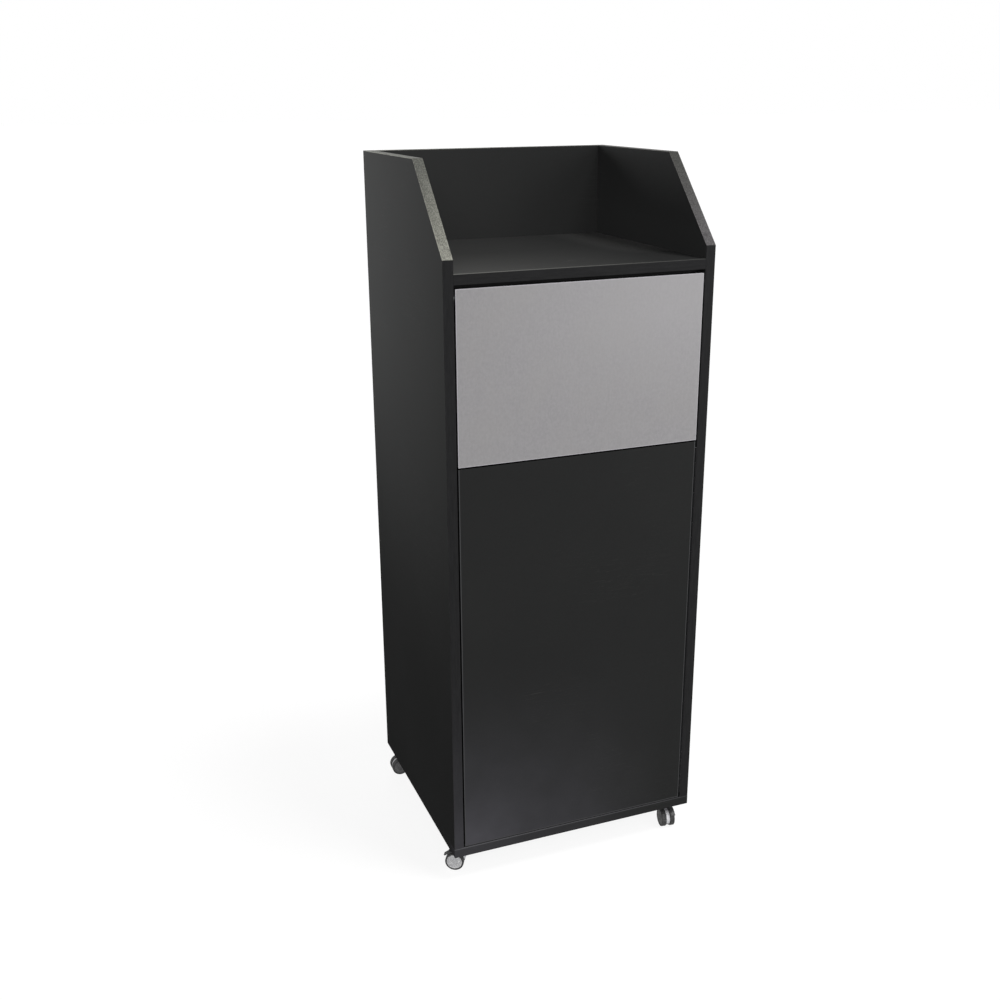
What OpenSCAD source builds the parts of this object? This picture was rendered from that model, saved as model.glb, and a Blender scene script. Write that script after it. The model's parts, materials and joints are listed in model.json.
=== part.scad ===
// Trash cabinet on four twin-wheel casters: a tray surround on top, a push flap and a hinged door.
// The front faces -Y and +Z is up. The origin is on the floor, under the middle of the cabinet.

/* [Cabinet] */
// Width over the side panels
cabinet_w = 520; // [480:10:640]
// Depth from the front edges to the back face
cabinet_d = 475; // [450:5:600]
// Height of the boards, from the underside of the bottom board to the top edges
cabinet_h = 1320; // [1280:10:1500]
// Thickness of every board
board_t = 19; // [18:0.5:22]
// Thickness of the edge bands
band_t = 1; // [0.5:0.1:2]

/* [Tray] */
// Depth of the tray shelf's top below the top edges
tray_drop = 179; // [165:1:230]
// Depth of the slope at the front of each side panel
slope_d = 152; // [80:1:220]
// Height of that slope
slope_h = 156; // [100:1:160]

/* [Flap] */
// Height of the flap
flap_h = 314; // [240:1:330]
// Gap over the flap, which its top edge swings through
flap_top_gap = 6.5; // [5:0.5:10]
// Gap at each side of the flap
flap_side_gap = 2.8; // [2:0.1:5]
// Thickness of the brushed laminate on the flap
face_t = 1; // [0.6:0.1:2]
// Drop from the flap's top edge to its pivot
pivot_drop = 16; // [15:1:24]
// Angle that the flap swings inwards
flap_swing = 75; // [60:1:78]

/* [Flap pivot] */
// Diameter of the pivot pins
pivot_pin_d = 8; // [6:0.5:10]
// Depth of a pivot pin in the flap
pivot_seat_l = 20; // [12:1:40]
// Outside diameter of a pivot bush
bush_d = 12; // [11.5:0.5:15]
// Depth of a bush in its side panel
bush_l = 12; // [8:1:15]
// Diameter of the bush's flange
bush_flange_d = 17; // [16:0.5:22]
// Thickness of the bush's flange
bush_flange_t = 1; // [0.6:0.1:1.6]
// Running clearance of a turning pin in its bore, on the radius
run_c = 0.05; // [0.02:0.01:0.1]

/* [Stop rail] */
// Depth of the rail under the tray shelf
rail_d = 30; // [20:1:60]
// Diameter of the rubber bumpers on it
bumper_d = 6; // [4:0.5:7]
// Thickness of the bumpers
bumper_t = 2; // [1.5:0.1:3]

/* [Door] */
// Gap between the door and the flap
door_top_gap = 3; // [2:0.5:5]
// Gap under the door
door_bottom_gap = 2.5; // [2:0.5:5]
// Gap at the door's free edge
door_side_gap = 3; // [2:0.5:5]

/* [Door hinge] */
// Outside diameter of the hinge knuckles
knuckle_d = 3.8; // [3.4:0.1:5]
// Diameter of the hinge pin
hinge_pin_d = 2; // [1.6:0.1:2.4]
// Thickness of the hinge leaves
leaf_t = 0.9; // [0.7:0.1:1.1]
// Width of each leaf, from the hinge axis
leaf_w = 14; // [12:1:17]
// Number of knuckles on both leaves together
knuckle_n = 25; // [9:2:31]
// Distance from each end of the door to the hinge
hinge_end = 12; // [5:1:40]

/* [Door catch] */
// Drop from the door's top edge to the middle of the catch
catch_drop = 60; // [45:1:200]
// Height of the magnet housing
magnet_h = 36; // [26:1:60]
// How far the magnet housing stands off the side panel
magnet_w = 14; // [12:1:18]
// Depth of the magnet housing
magnet_d = 18; // [12:1:30]
// Thickness of the strike plate
strike_t = 1.2; // [0.8:0.1:2]

/* [Bin] */
// Gap between the bin's rim and each side panel
bin_side_gap = 21; // [16:1:50]
// Gap between the bin's rim and the door
bin_front_gap = 29; // [24:1:60]
// Gap between the bin's rim and the back panel
bin_back_gap = 20; // [8:1:40]
// Height of the bin
bin_h = 715; // [500:5:715]
// Thickness of the bin's wall
bin_wall = 3; // [2:0.5:5]
// How much each wall leans in from the rim to the foot
bin_lean = 20; // [10:1:40]
// Radius of the bin's upright corners
bin_r = 38; // [20:1:60]
// Width of the rim, outside the wall
rim_w = 10; // [6:1:16]
// Height of the rim
rim_h = 14; // [8:1:24]
// Width and height of the guide battens beside the bin
guide_s = 18; // [12:1:24]
// Length of the guide battens
guide_l = 300; // [200:10:380]

/* [Casters] */
// Height of a caster, from the floor to the bottom board
caster_h = 56.5; // [54:0.5:70]
// Diameter of the wheels
wheel_d = 38; // [34:1:40]
// Width over the two wheels of a caster
pair_w = 28; // [24:1:34]
// Horizontal distance from the swivel axis to the axle
trail = 18.5; // [17:0.5:22]
// Distance from the swivel axis to the side of the cabinet
stem_inset_x = 34; // [28:1:60]
// Distance from the swivel axis to the front or the back
stem_inset_y = 41; // [28:1:60]
// Direction in which the front left caster trails, in degrees from +X
front_left_turn = 150; // [-180:1:180]
// Direction in which the front right caster trails
front_right_turn = -99; // [-180:1:180]
// Direction in which the rear left caster trails
rear_left_turn = 178; // [-180:1:180]
// Direction in which the rear right caster trails
rear_right_turn = 20; // [-180:1:180]

/* [Caster parts] */
// Side of the square top plate
plate_s = 42; // [40:1:50]
// Thickness of the top plate
plate_t = 2; // [1.5:0.1:3]
// Spacing of the plate's screws
plate_pitch = 30; // [28:1:32]
// Diameter of the kingpin
kingpin_d = 6; // [5:0.5:8]
// Thickness of the hood's web between the wheels
web_t = 7; // [5:0.5:9]
// Diameter of the axle
axle_d = 4; // [3:0.5:5]
// Depth of the tyre's rubber
tyre_t = 3.2; // [2:0.1:5]
// Width of the brake lever, which presses on one tyre
lever_w = 9.5; // [6:0.5:10]
// Thickness of the brake lever
lever_t = 2.4; // [1.6:0.1:2.8]
// Angle that the brake lever travels
lever_travel = 8; // [5:1:12]

/* [Fixings] */
// Diameter of the cam locks
cam_d = 15; // [13:1:16]
// Depth of the cam locks
cam_l = 12.5; // [12:0.5:14]
// Distance from a panel's end to the middle of a cam
cam_reach = 34; // [24:1:40]
// Diameter of the cam bolts
cam_bolt_d = 6; // [5:0.5:7]
// Depth of a cam bolt in the side panel
cam_bolt_seat = 11; // [8:1:14]
// Diameter of the dowels
dowel_d = 8; // [6:1:10]
// Length of the dowels
dowel_l = 34; // [24:2:44]
// Depth of a dowel in the side panel
dowel_seat = 12; // [8:1:14]
// Distance from an edge to the first fixing
fixing_inset = 70; // [60:1:90]
// Distance from a cam to its dowel
dowel_step = 40; // [30:1:60]

/* [Screws] */
// Shank diameter of the long screws through the bottom board
long_screw_d = 5; // [4:0.5:6]
// Length of the long screws
long_screw_l = 60; // [45:1:80]
// Distance from an edge to the first long screw
long_screw_inset = 95; // [85:1:120]
// Shank diameter of the batten screws
batten_screw_d = 4; // [3:0.5:5]
// Length of the batten screws
batten_screw_l = 28; // [22:1:30]
// Shank diameter of the fitting screws in the hinge, the catch and the strike plate
fitting_screw_d = 3; // [2.5:0.5:3.5]
// Length of the fitting screws
fitting_screw_l = 14; // [8:1:16]
// Shank diameter of the caster screws
caster_screw_d = 4; // [3:0.5:4.5]
// Length of the caster screws
caster_screw_l = 15; // [10:1:16]

/* [Hidden] */
$fn = 48;
eps = 0.01;

// Faces of the cabinet
half_w = cabinet_w / 2;
inner = half_w - board_t;
front = -cabinet_d / 2;
back = cabinet_d / 2;
base_z = caster_h;
deck_z = base_z + board_t;
top_z = base_z + cabinet_h;
tray_z = top_z - tray_drop;
tray_under = tray_z - board_t;
back_face = back - board_t;

// Flap and its stop
flap_top = tray_under - flap_top_gap;
flap_bottom = flap_top - flap_h;
flap_half = inner - flap_side_gap;
pivot_y = front + board_t / 2;
pivot_z = flap_top - pivot_drop;
pivot_reach = flap_side_gap + bush_l - 1;
rail_y = front + board_t + bumper_t;
// The rail's lower front edge is just clear of the flap's back at the end of the swing
rail_rise = (board_t / 2 - (board_t / 2 + bumper_t) * cos(flap_swing)) / sin(flap_swing) + 0.3;
rail_z = pivot_z + rail_rise;
bumper_z = (rail_z + flap_top) / 2;

// Door and its hinge, whose axis lies in the gap, in the plane of the front
hinge_gap = knuckle_d + 0.2;
hinge_x = inner - hinge_gap / 2;
door_left = -inner + door_side_gap;
door_right = inner - hinge_gap;
door_bottom = deck_z + door_bottom_gap;
door_top = flap_bottom - door_top_gap;
door_back = front + board_t;
hinge_z0 = door_bottom + hinge_end;
hinge_l = door_top - door_bottom - 2 * hinge_end;
knuckle_pitch = hinge_l / knuckle_n;
knuckle_c = 0.2;
leaf_start = knuckle_d / 2 + 0.4;
leaf_screw_y = front + (leaf_start + leaf_w) / 2;
leaf_screw_n = 6;
leaf_screw_z = [for (i = [0 : leaf_screw_n - 1]) hinge_z0 + hinge_l * (i + 0.5) / leaf_screw_n];

// Catch
catch_z = door_top - catch_drop;
catch_y = door_back + strike_t;
catch_flange_t = 3;
catch_flange_w = 13;
catch_ear = 13;
catch_screw_z = [for (s = [-1, 1]) catch_z + s * (magnet_h + catch_ear) / 2];
strike_w = magnet_w - door_side_gap - 1;
strike_x = door_left + 0.5;
strike_h = magnet_h + 4;

// Bin, which stands between its guides and fits inside the panels and the door
bin_w = 2 * (inner - bin_side_gap);
bin_d = back_face - bin_back_gap - door_back - bin_front_gap;
bin_y = back_face - bin_back_gap - bin_d / 2;
bin_top_w = bin_w - 2 * rim_w;
bin_top_d = bin_d - 2 * rim_w;
bin_foot_w = bin_top_w - 2 * bin_lean;
bin_foot_d = bin_top_d - 2 * bin_lean;
guide_x = bin_foot_w / 2 + bin_lean * guide_s / bin_h + 3;
guide_screw_y = [for (s = [-1, 1]) bin_y + s * guide_l / 3];

// Fixings between the panels
tray_cam_y = [front + fixing_inset, back - fixing_inset - board_t];
tray_dowel_y = [tray_cam_y[0] + dowel_step, tray_cam_y[1] - dowel_step];
back_cam_z = [deck_z + fixing_inset, (deck_z + tray_under) / 2, tray_under - fixing_inset];
back_dowel_z = [back_cam_z[0] + dowel_step, back_cam_z[2] - dowel_step];
tray_mid_z = tray_z - board_t / 2;
back_mid_y = back - board_t / 2;
long_screw_y = [front + long_screw_inset, 0, back - long_screw_inset];
long_screw_x = [-half_w / 2, 0, half_w / 2];
rail_screw_x = [-inner * 0.75, 0, inner * 0.75];

// Casters, drawn with the swivel axis on Z, the bottom board's underside at 0 and the trail along +X
turns = [front_left_turn, front_right_turn, rear_left_turn, rear_right_turn];
front_left = 0;
front_right = 1;
rear_left = 2;
rear_right = 3;
stems = [for (y = [front + stem_inset_y, back - stem_inset_y], x = [-1, 1])
    [x * (half_w - stem_inset_x), y, base_z]];
wheel_r = wheel_d / 2;
axle_z = -caster_h + wheel_r;
wheel_c = 0.4;
wheel_in = web_t / 2 + wheel_c;
wheel_w = pair_w / 2 - wheel_in;
hub_r = wheel_r - tyre_t;
cap_wall = 2;
axle_l = pair_w - 2 * cap_wall - 0.6;
boss_r = kingpin_d / 2 + 4;
boss_top = -plate_t - 0.3;
boss_bottom = -19;
boss_mid = (boss_top + boss_bottom) / 2;
kingpin_l = 16;
web_r = wheel_r - 2;
lever_c = 0.4;
lever_r = wheel_r + lever_c;
lever_pin_a = 112;
lever_pin_d = 2.5;
lever_eye_r = 2.5;
lever_pin_x = trail + (lever_r + lever_t) * cos(lever_pin_a);
lever_pin_z = axle_z + (lever_r + lever_t) * sin(lever_pin_a);
lever_toe = 3.5;
lever_toe_a = 20;
lever_end_a = 32;
lever_head_t = 1.2;

// A board between two opposite corners
module block(low, high) {
    translate(low)
        cube(high - low);
}

// A rectangle with round corners, from its low corner
module round_rect(size, r) {
    translate([r, 0])
        square([size[0] - 2 * r, size[1]]);
    translate([0, r])
        square([size[0], size[1] - 2 * r]);
    for (x = [r, size[0] - r], y = [r, size[1] - r])
        translate([x, y])
            circle(r);
}

// A rod along X from one x to another
module rod_x(x0, x1, y, z, d) {
    translate([x0, y, z])
        rotate([0, 90, 0])
            cylinder(d = d, h = x1 - x0);
}

// A countersunk screw that points along +Z, with the top of its head at 0
module screw(d, l) {
    cylinder(d = d, h = l);
    cylinder(d1 = 1.9 * d, d2 = d, h = 0.5 * d);
}

module fitting_screw() {
    screw(fitting_screw_d, fitting_screw_l);
}

// Something drawn on the right side, and its mirror image on the left
module both_sides() {
    children();
    mirror([1, 0, 0])
        children();
}

// Outline of a side panel from the front, with its banded edges drawn in by a thickness
function slope_l() = sqrt(slope_d * slope_d + slope_h * slope_h);
function side_outline(inset) = [
    [front + inset, deck_z],
    [back, deck_z],
    [back, top_z - inset],
    [front + slope_d + inset * (slope_l() - slope_d) / slope_h, top_z - inset],
    [front + inset, top_z - slope_h - inset * (slope_l() - slope_h) / slope_d]
];

module side_plate(inset, x) {
    translate([x, 0, 0])
        rotate([90, 0, 90])
            linear_extrude(height = board_t)
                polygon(side_outline(inset));
}

// Everything that is bored into both side panels, from the inside and from below
module side_bores() {
    both_sides() {
        rod_x(inner - eps, inner + bush_l, pivot_y, pivot_z, bush_d);
        for (y = tray_cam_y)
            rod_x(inner - eps, inner + cam_bolt_seat, y, tray_mid_z, cam_bolt_d);
        for (y = tray_dowel_y)
            rod_x(inner - eps, inner + dowel_seat, y, tray_mid_z, dowel_d);
        for (z = back_cam_z)
            rod_x(inner - eps, inner + cam_bolt_seat, back_mid_y, z, cam_bolt_d);
        for (z = back_dowel_z)
            rod_x(inner - eps, inner + dowel_seat, back_mid_y, z, dowel_d);
        for (y = long_screw_y)
            translate([half_w - board_t / 2, y, base_z])
                cylinder(d = long_screw_d, h = long_screw_l);
    }
}

module left_side() {
    color("#26282a")
        difference() {
            side_plate(band_t, -half_w);
            side_bores();
            cabinet_catch_screws();
        }
}

module right_side() {
    color("#26282a")
        difference() {
            side_plate(band_t, inner);
            side_bores();
            cabinet_hinge_screws();
        }
}

// The strip on the front edge, the slope and the top edge of a side panel
function band_outline() = concat(
    [[front, deck_z], [front, top_z - slope_h], [front + slope_d, top_z], [back, top_z]],
    [[back, top_z - band_t], side_outline(band_t)[3], side_outline(band_t)[4], [front + band_t, deck_z]]
);

module edge_band(x) {
    color("#4a4b46")
        translate([x, 0, 0])
            rotate([90, 0, 90])
                linear_extrude(height = board_t)
                    polygon(band_outline());
}

module left_edge_band() {
    edge_band(-half_w);
}

module right_edge_band() {
    edge_band(inner);
}

// The cam locks, let into the underside of the tray shelf and the inner face of the back
module tray_cams() {
    both_sides()
        for (y = tray_cam_y)
            translate([inner - cam_reach, y, tray_under])
                cylinder(d = cam_d, h = cam_l);
}

module back_cams() {
    both_sides()
        for (z = back_cam_z)
            translate([inner - cam_reach, back_face, z])
                rotate([-90, 0, 0])
                    cylinder(d = cam_d, h = cam_l);
}

// Bolts and dowels that cross the joints between the side panels and the tray shelf or the back
module tray_bolts() {
    both_sides()
        for (y = tray_cam_y)
            rod_x(inner - cam_reach, inner + cam_bolt_seat, y, tray_mid_z, cam_bolt_d);
}

module back_bolts() {
    both_sides()
        for (z = back_cam_z)
            rod_x(inner - cam_reach, inner + cam_bolt_seat, back_mid_y, z, cam_bolt_d);
}

module tray_dowels() {
    both_sides()
        for (y = tray_dowel_y)
            rod_x(inner + dowel_seat - dowel_l, inner + dowel_seat, y, tray_mid_z, dowel_d);
}

module back_dowels() {
    both_sides()
        for (z = back_dowel_z)
            rod_x(inner + dowel_seat - dowel_l, inner + dowel_seat, back_mid_y, z, dowel_d);
}

module back_panel() {
    color("#26282a")
        difference() {
            block([-inner, back_face, deck_z], [inner, back, top_z - band_t]);
            back_cams();
            back_bolts();
            back_dowels();
            long_screws_shape();
        }
}

module back_edge_band() {
    color("#4a4b46")
        block([-inner, back_face, top_z - band_t], [inner, back, top_z]);
}

module bottom_board() {
    color("#26282a")
        difference() {
            block([-half_w, front, base_z], [half_w, back, deck_z]);
            long_screws_shape();
            guide_screws_shape();
            caster_screws_shape(0);
            kingpins_shape();
        }
}

module tray_shelf() {
    color("#26282a")
        difference() {
            block([-inner, front + band_t, tray_under], [inner, back_face, tray_z]);
            tray_cams();
            tray_bolts();
            tray_dowels();
            rail_screws_shape();
        }
}

module tray_edge_band() {
    color("#4a4b46")
        block([-inner, front, tray_under], [inner, front + band_t, tray_z]);
}

module stop_rail() {
    color("#26282a")
        difference() {
            block([-inner, rail_y, rail_z], [inner, rail_y + rail_d, tray_under]);
            rail_screws_shape();
        }
}

module flap_bumpers() {
    color("#1c1c1c")
        for (x = [-flap_half * 0.7, 0, flap_half * 0.7])
            translate([x, rail_y, bumper_z])
                rotate([90, 0, 0])
                    cylinder(d = bumper_d, h = bumper_t);
}

// Each bush sits in its side panel, with its flange on the panel's inner face
module flap_bushes() {
    color("#d8d8d2")
        both_sides()
            difference() {
                union() {
                    rod_x(inner, inner + bush_l, pivot_y, pivot_z, bush_d);
                    rod_x(inner - bush_flange_t, inner, pivot_y, pivot_z, bush_flange_d);
                }
                rod_x(inner - bush_flange_t - 1, inner + bush_l - 0.5, pivot_y, pivot_z,
                    pivot_pin_d + 2 * run_c);
            }
}

module flap_pivot_pins() {
    color("#b8babc")
        both_sides()
            rod_x(flap_half - pivot_seat_l, flap_half + pivot_reach, pivot_y, pivot_z, pivot_pin_d);
}

module flap_core() {
    color("#3a3b3d")
        difference() {
            block([-flap_half, front + face_t, flap_bottom], [flap_half, front + board_t, flap_top]);
            both_sides()
                rod_x(flap_half - pivot_seat_l, flap_half + 1, pivot_y, pivot_z, pivot_pin_d);
        }
}

module flap_face() {
    color("#a4a1a3")
        block([-flap_half, front, flap_bottom], [flap_half, front + face_t, flap_top]);
}

module door_panel() {
    color("#26282a")
        difference() {
            block([door_left, front, door_bottom], [door_right, door_back, door_top]);
            door_hinge_screws();
            strike_screw();
        }
}

// One leaf of the hinge, in the plane from x0 to x1, with its own knuckles: every other one of them
module hinge_leaf(x0, first) {
    difference() {
        union() {
            block([x0, front + leaf_start, hinge_z0], [x0 + leaf_t, front + leaf_w, hinge_z0 + hinge_l]);
            for (i = [first : 2 : knuckle_n - 1])
                translate([0, 0, hinge_z0 + i * knuckle_pitch + knuckle_c]) {
                    translate([hinge_x, front, 0])
                        cylinder(d = knuckle_d, h = knuckle_pitch - 2 * knuckle_c);
                    translate([x0, front, 0])
                        cube([leaf_t, leaf_start + eps, knuckle_pitch - 2 * knuckle_c]);
                }
        }
        translate([hinge_x, front, hinge_z0 - 1])
            cylinder(d = hinge_pin_d + 2 * run_c, h = hinge_l + 2);
    }
}

module hinge_cabinet_leaf() {
    color("#1f2022")
        difference() {
            hinge_leaf(inner - leaf_t, 0);
            cabinet_hinge_screws();
        }
}

module hinge_door_leaf() {
    color("#1f2022")
        difference() {
            hinge_leaf(door_right, 1);
            door_hinge_screws();
        }
}

module hinge_pin() {
    color("#5a5c5e")
        translate([hinge_x, front, hinge_z0])
            cylinder(d = hinge_pin_d, h = hinge_l);
}

module cabinet_hinge_screws() {
    for (z = leaf_screw_z)
        translate([inner - leaf_t, leaf_screw_y, z])
            rotate([0, 90, 0])
                fitting_screw();
}

module door_hinge_screws() {
    for (z = leaf_screw_z)
        translate([door_right + leaf_t, leaf_screw_y, z])
            rotate([0, -90, 0])
                fitting_screw();
}

// The catch: a flange on the side panel, and a magnet housing that the strike plate meets
module door_catch() {
    flange_h = magnet_h + 2 * catch_ear;
    color("#2c2c2c")
        difference() {
            union() {
                block([-inner, catch_y, catch_z - flange_h / 2],
                    [-inner + catch_flange_t, catch_y + catch_flange_w, catch_z + flange_h / 2]);
                block([-inner, catch_y, catch_z - magnet_h / 2],
                    [-inner + magnet_w, catch_y + magnet_d, catch_z + magnet_h / 2]);
            }
            cabinet_catch_screws();
        }
}

module cabinet_catch_screws() {
    for (z = catch_screw_z)
        translate([-inner + catch_flange_t, catch_y + catch_flange_w / 2, z])
            rotate([0, -90, 0])
                fitting_screw();
}

module strike_plate() {
    color("#b8babc")
        difference() {
            block([strike_x, door_back, catch_z - strike_h / 2],
                [strike_x + strike_w, door_back + strike_t, catch_z + strike_h / 2]);
            strike_screw();
        }
}

module strike_screw() {
    translate([strike_x + strike_w / 2, door_back + strike_t, catch_z])
        rotate([90, 0, 0])
            fitting_screw();
}

module cabinet_fitting_screws() {
    color("#8c8e90") {
        cabinet_hinge_screws();
        cabinet_catch_screws();
    }
}

module door_fitting_screws() {
    color("#8c8e90") {
        door_hinge_screws();
        strike_screw();
    }
}

// A tapered box with round corners: its foot, its top and its height
module tapered_box(foot, top, h, r) {
    linear_extrude(height = h, scale = [top[0] / foot[0], top[1] / foot[1]], slices = 1)
        translate([-foot[0] / 2, -foot[1] / 2])
            round_rect(foot, r, $fn = 32);
}

module bin() {
    wall2 = 2 * bin_wall;
    color("#3c3f42")
        translate([0, bin_y, deck_z])
            difference() {
                union() {
                    tapered_box([bin_foot_w, bin_foot_d], [bin_top_w, bin_top_d], bin_h, bin_r);
                    translate([-bin_w / 2, -bin_d / 2, bin_h - rim_h])
                        linear_extrude(height = rim_h)
                            round_rect([bin_w, bin_d], bin_r + rim_w, $fn = 32);
                }
                translate([0, 0, bin_wall])
                    tapered_box([bin_foot_w - wall2, bin_foot_d - wall2],
                        [bin_top_w - wall2, bin_top_d - wall2], bin_h - bin_wall + eps, bin_r - bin_wall);
            }
}

module bin_guides() {
    color("#26282a")
        difference() {
            both_sides()
                block([guide_x, bin_y - guide_l / 2, deck_z],
                    [guide_x + guide_s, bin_y + guide_l / 2, deck_z + guide_s]);
            guide_screws_shape();
        }
}

module cam_locks() {
    color("#a8aaac")
        difference() {
            union() {
                tray_cams();
                back_cams();
            }
            tray_bolts();
            back_bolts();
        }
}

module cam_bolts() {
    color("#b8babc") {
        tray_bolts();
        back_bolts();
    }
}

module dowels() {
    color("#c9a878") {
        tray_dowels();
        back_dowels();
    }
}

// Screws up through the bottom board into the edges of the sides and the back
module long_screws_shape() {
    for (s = [-1, 1], y = long_screw_y)
        translate([s * (half_w - board_t / 2), y, base_z])
            screw(long_screw_d, long_screw_l);
    for (x = long_screw_x)
        translate([x, back_mid_y, base_z])
            screw(long_screw_d, long_screw_l);
}

module long_screws() {
    color("#8c8e90")
        long_screws_shape();
}

// Screws up through the rail into the tray shelf
module rail_screws_shape() {
    for (x = rail_screw_x)
        translate([x, rail_y + rail_d / 2, rail_z])
            screw(batten_screw_d, batten_screw_l);
}

// Screws down through the guide battens into the bottom board
module guide_screws_shape() {
    for (s = [-1, 1], y = guide_screw_y)
        translate([s * (guide_x + guide_s / 2), y, deck_z + guide_s])
            mirror([0, 0, 1])
                screw(batten_screw_d, batten_screw_l);
}

module batten_screws() {
    color("#8c8e90") {
        rail_screws_shape();
        guide_screws_shape();
    }
}

module caster_plates() {
    color("#9a9c9e")
        difference() {
            for (p = stems)
                translate(p + [-plate_s / 2, -plate_s / 2, -plate_t])
                    linear_extrude(height = plate_t)
                        round_rect([plate_s, plate_s], 4);
            kingpins_shape();
            caster_screws_shape(0);
        }
}

// The kingpin is riveted into the plate, with its head let into the board above
module kingpins_shape() {
    for (p = stems) {
        translate(p + [0, 0, -kingpin_l])
            cylinder(d = kingpin_d, h = kingpin_l);
        translate(p)
            cylinder(d = kingpin_d + 4, h = 1.5);
    }
}

module kingpins() {
    color("#9a9c9e")
        kingpins_shape();
}

// Pan-head screws through the plates; their heads stand off by a gap
module caster_screws_shape(gap) {
    for (p = stems, x = [-1, 1], y = [-1, 1])
        translate(p + [x * plate_pitch / 2, y * plate_pitch / 2, -plate_t - gap]) {
            cylinder(d = caster_screw_d, h = caster_screw_l);
            mirror([0, 0, 1])
                cylinder(d = 1.8 * caster_screw_d, h = 0.5 * caster_screw_d);
        }
}

module caster_screws() {
    color("#8c8e90")
        caster_screws_shape(0);
}

// A shape drawn in a caster's own place, put under its corner of the cabinet
module at_caster(corner) {
    translate(stems[corner])
        rotate([0, 0, turns[corner]])
            children();
}

// A disc or ring about the axle, drawn as a section: radius along X and width along Y
module about_axle(y0) {
    translate([trail, y0, axle_z])
        rotate([-90, 0, 0])
            rotate_extrude()
                children();
}

module hood(corner) {
    color("#c4c6c8")
        at_caster(corner)
            difference() {
                union() {
                    translate([0, 0, boss_bottom])
                        cylinder(r = boss_r, h = boss_top - boss_bottom);
                    translate([0, web_t / 2, 0])
                        rotate([90, 0, 0])
                            linear_extrude(height = web_t)
                                web_outline();
                }
                translate([0, 0, -kingpin_l - 0.4])
                    cylinder(r = kingpin_d / 2 + run_c, h = kingpin_l);
                translate([trail, -web_t, axle_z])
                    rotate([-90, 0, 0])
                        cylinder(d = axle_d, h = 2 * web_t);
                if (corner < rear_left)
                    translate([lever_pin_x, -web_t, lever_pin_z])
                        rotate([-90, 0, 0])
                            cylinder(r = lever_pin_d / 2 + run_c, h = 2 * web_t);
            }
}

// The web between the wheels, with an ear for the lever's pin
module web_outline() {
    polygon([[-boss_r, boss_mid], [-boss_r, boss_bottom - 4], [trail - web_r, axle_z], [trail, axle_z],
        [lever_pin_x, lever_pin_z], [boss_r, boss_mid]]);
    translate([trail, axle_z])
        circle(web_r);
    translate([lever_pin_x, lever_pin_z])
        circle(lever_eye_r);
}

module axle(corner) {
    color("#b8babc")
        at_caster(corner)
            translate([trail, -axle_l / 2, axle_z])
                rotate([-90, 0, 0])
                    cylinder(d = axle_d, h = axle_l);
}

// A wheel of light plastic, closed on its outer face, and its rubber tyre; s is the side of the web
module wheel(corner, s) {
    color("#c2c4c0")
        at_caster(corner)
            mirror([0, s > 0 ? 0 : 1, 0])
                about_axle(wheel_in)
                    difference() {
                        union() {
                            square([hub_r, wheel_w - 1]);
                            square([hub_r - 2, wheel_w]);
                        }
                        square([axle_d / 2 + run_c, wheel_w - cap_wall]);
                        translate([hub_r * 0.45, wheel_w - 0.6])
                            square([hub_r * 0.12, 1]);
                    }
}

module tyre(corner, s) {
    color("#202020")
        at_caster(corner)
            mirror([0, s > 0 ? 0 : 1, 0])
                about_axle(wheel_in)
                    translate([hub_r, 0])
                        tyre_section();
}

module tyre_section() {
    r = tyre_t / 2;
    square([tyre_t - r, wheel_w]);
    translate([0, r])
        square([tyre_t, wheel_w - 2 * r]);
    for (y = [r, wheel_w - r])
        translate([tyre_t - r, y])
            circle(r);
}

// The brake lever, drawn pressed on tyre a and then raised about its pin to the free position
module lever(corner) {
    color("#242424")
        at_caster(corner)
            translate([lever_pin_x, 0, lever_pin_z])
                rotate([0, -lever_travel, 0])
                    translate([-lever_pin_x, 0, -lever_pin_z])
                        lever_pressed();
}

module lever_pressed() {
    ear_in = web_t / 2 + 0.3;
    ear_out = ear_in + 4;
    translate([0, ear_in + lever_w, 0])
        rotate([90, 0, 0])
            linear_extrude(height = lever_w)
                difference() {
                    lever_arc();
                    translate([lever_pin_x, lever_pin_z])
                        circle(lever_eye_r + 0.8);
                }
    translate([0, ear_out, 0])
        rotate([90, 0, 0])
            linear_extrude(height = ear_out - ear_in)
                lever_ear();
    translate([lever_pin_x, -ear_in - lever_head_t, lever_pin_z])
        rotate([-90, 0, 0]) {
            cylinder(d = lever_pin_d, h = lever_head_t + ear_in + ear_out);
            cylinder(r = lever_eye_r, h = lever_head_t);
        }
}

// A short arc over the tyre, from behind the pin down to the toe that sticks out
module lever_arc() {
    far = 2 * (lever_r + lever_t);
    a0 = lever_end_a;
    a1 = lever_pin_a - 6;
    translate([trail, axle_z])
        intersection() {
            difference() {
                circle(lever_r + lever_t);
                circle(lever_r);
            }
            polygon([[0, 0], [far * cos(a0), far * sin(a0)], [far, far], [far * cos(a1), far * sin(a1)]]);
        }
    translate([trail + lever_r * cos(a0), axle_z + lever_r * sin(a0)])
        rotate(-lever_toe_a)
            hull() {
                square([lever_toe - lever_t / 2, lever_t]);
                translate([lever_toe - lever_t / 2, lever_t / 2])
                    circle(lever_t / 2);
            }
}

module lever_ear() {
    translate([lever_pin_x, lever_pin_z])
        circle(lever_eye_r);
    translate([lever_pin_x, lever_pin_z - 0.6])
        square([lever_eye_r + 2.5, lever_t]);
}

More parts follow.
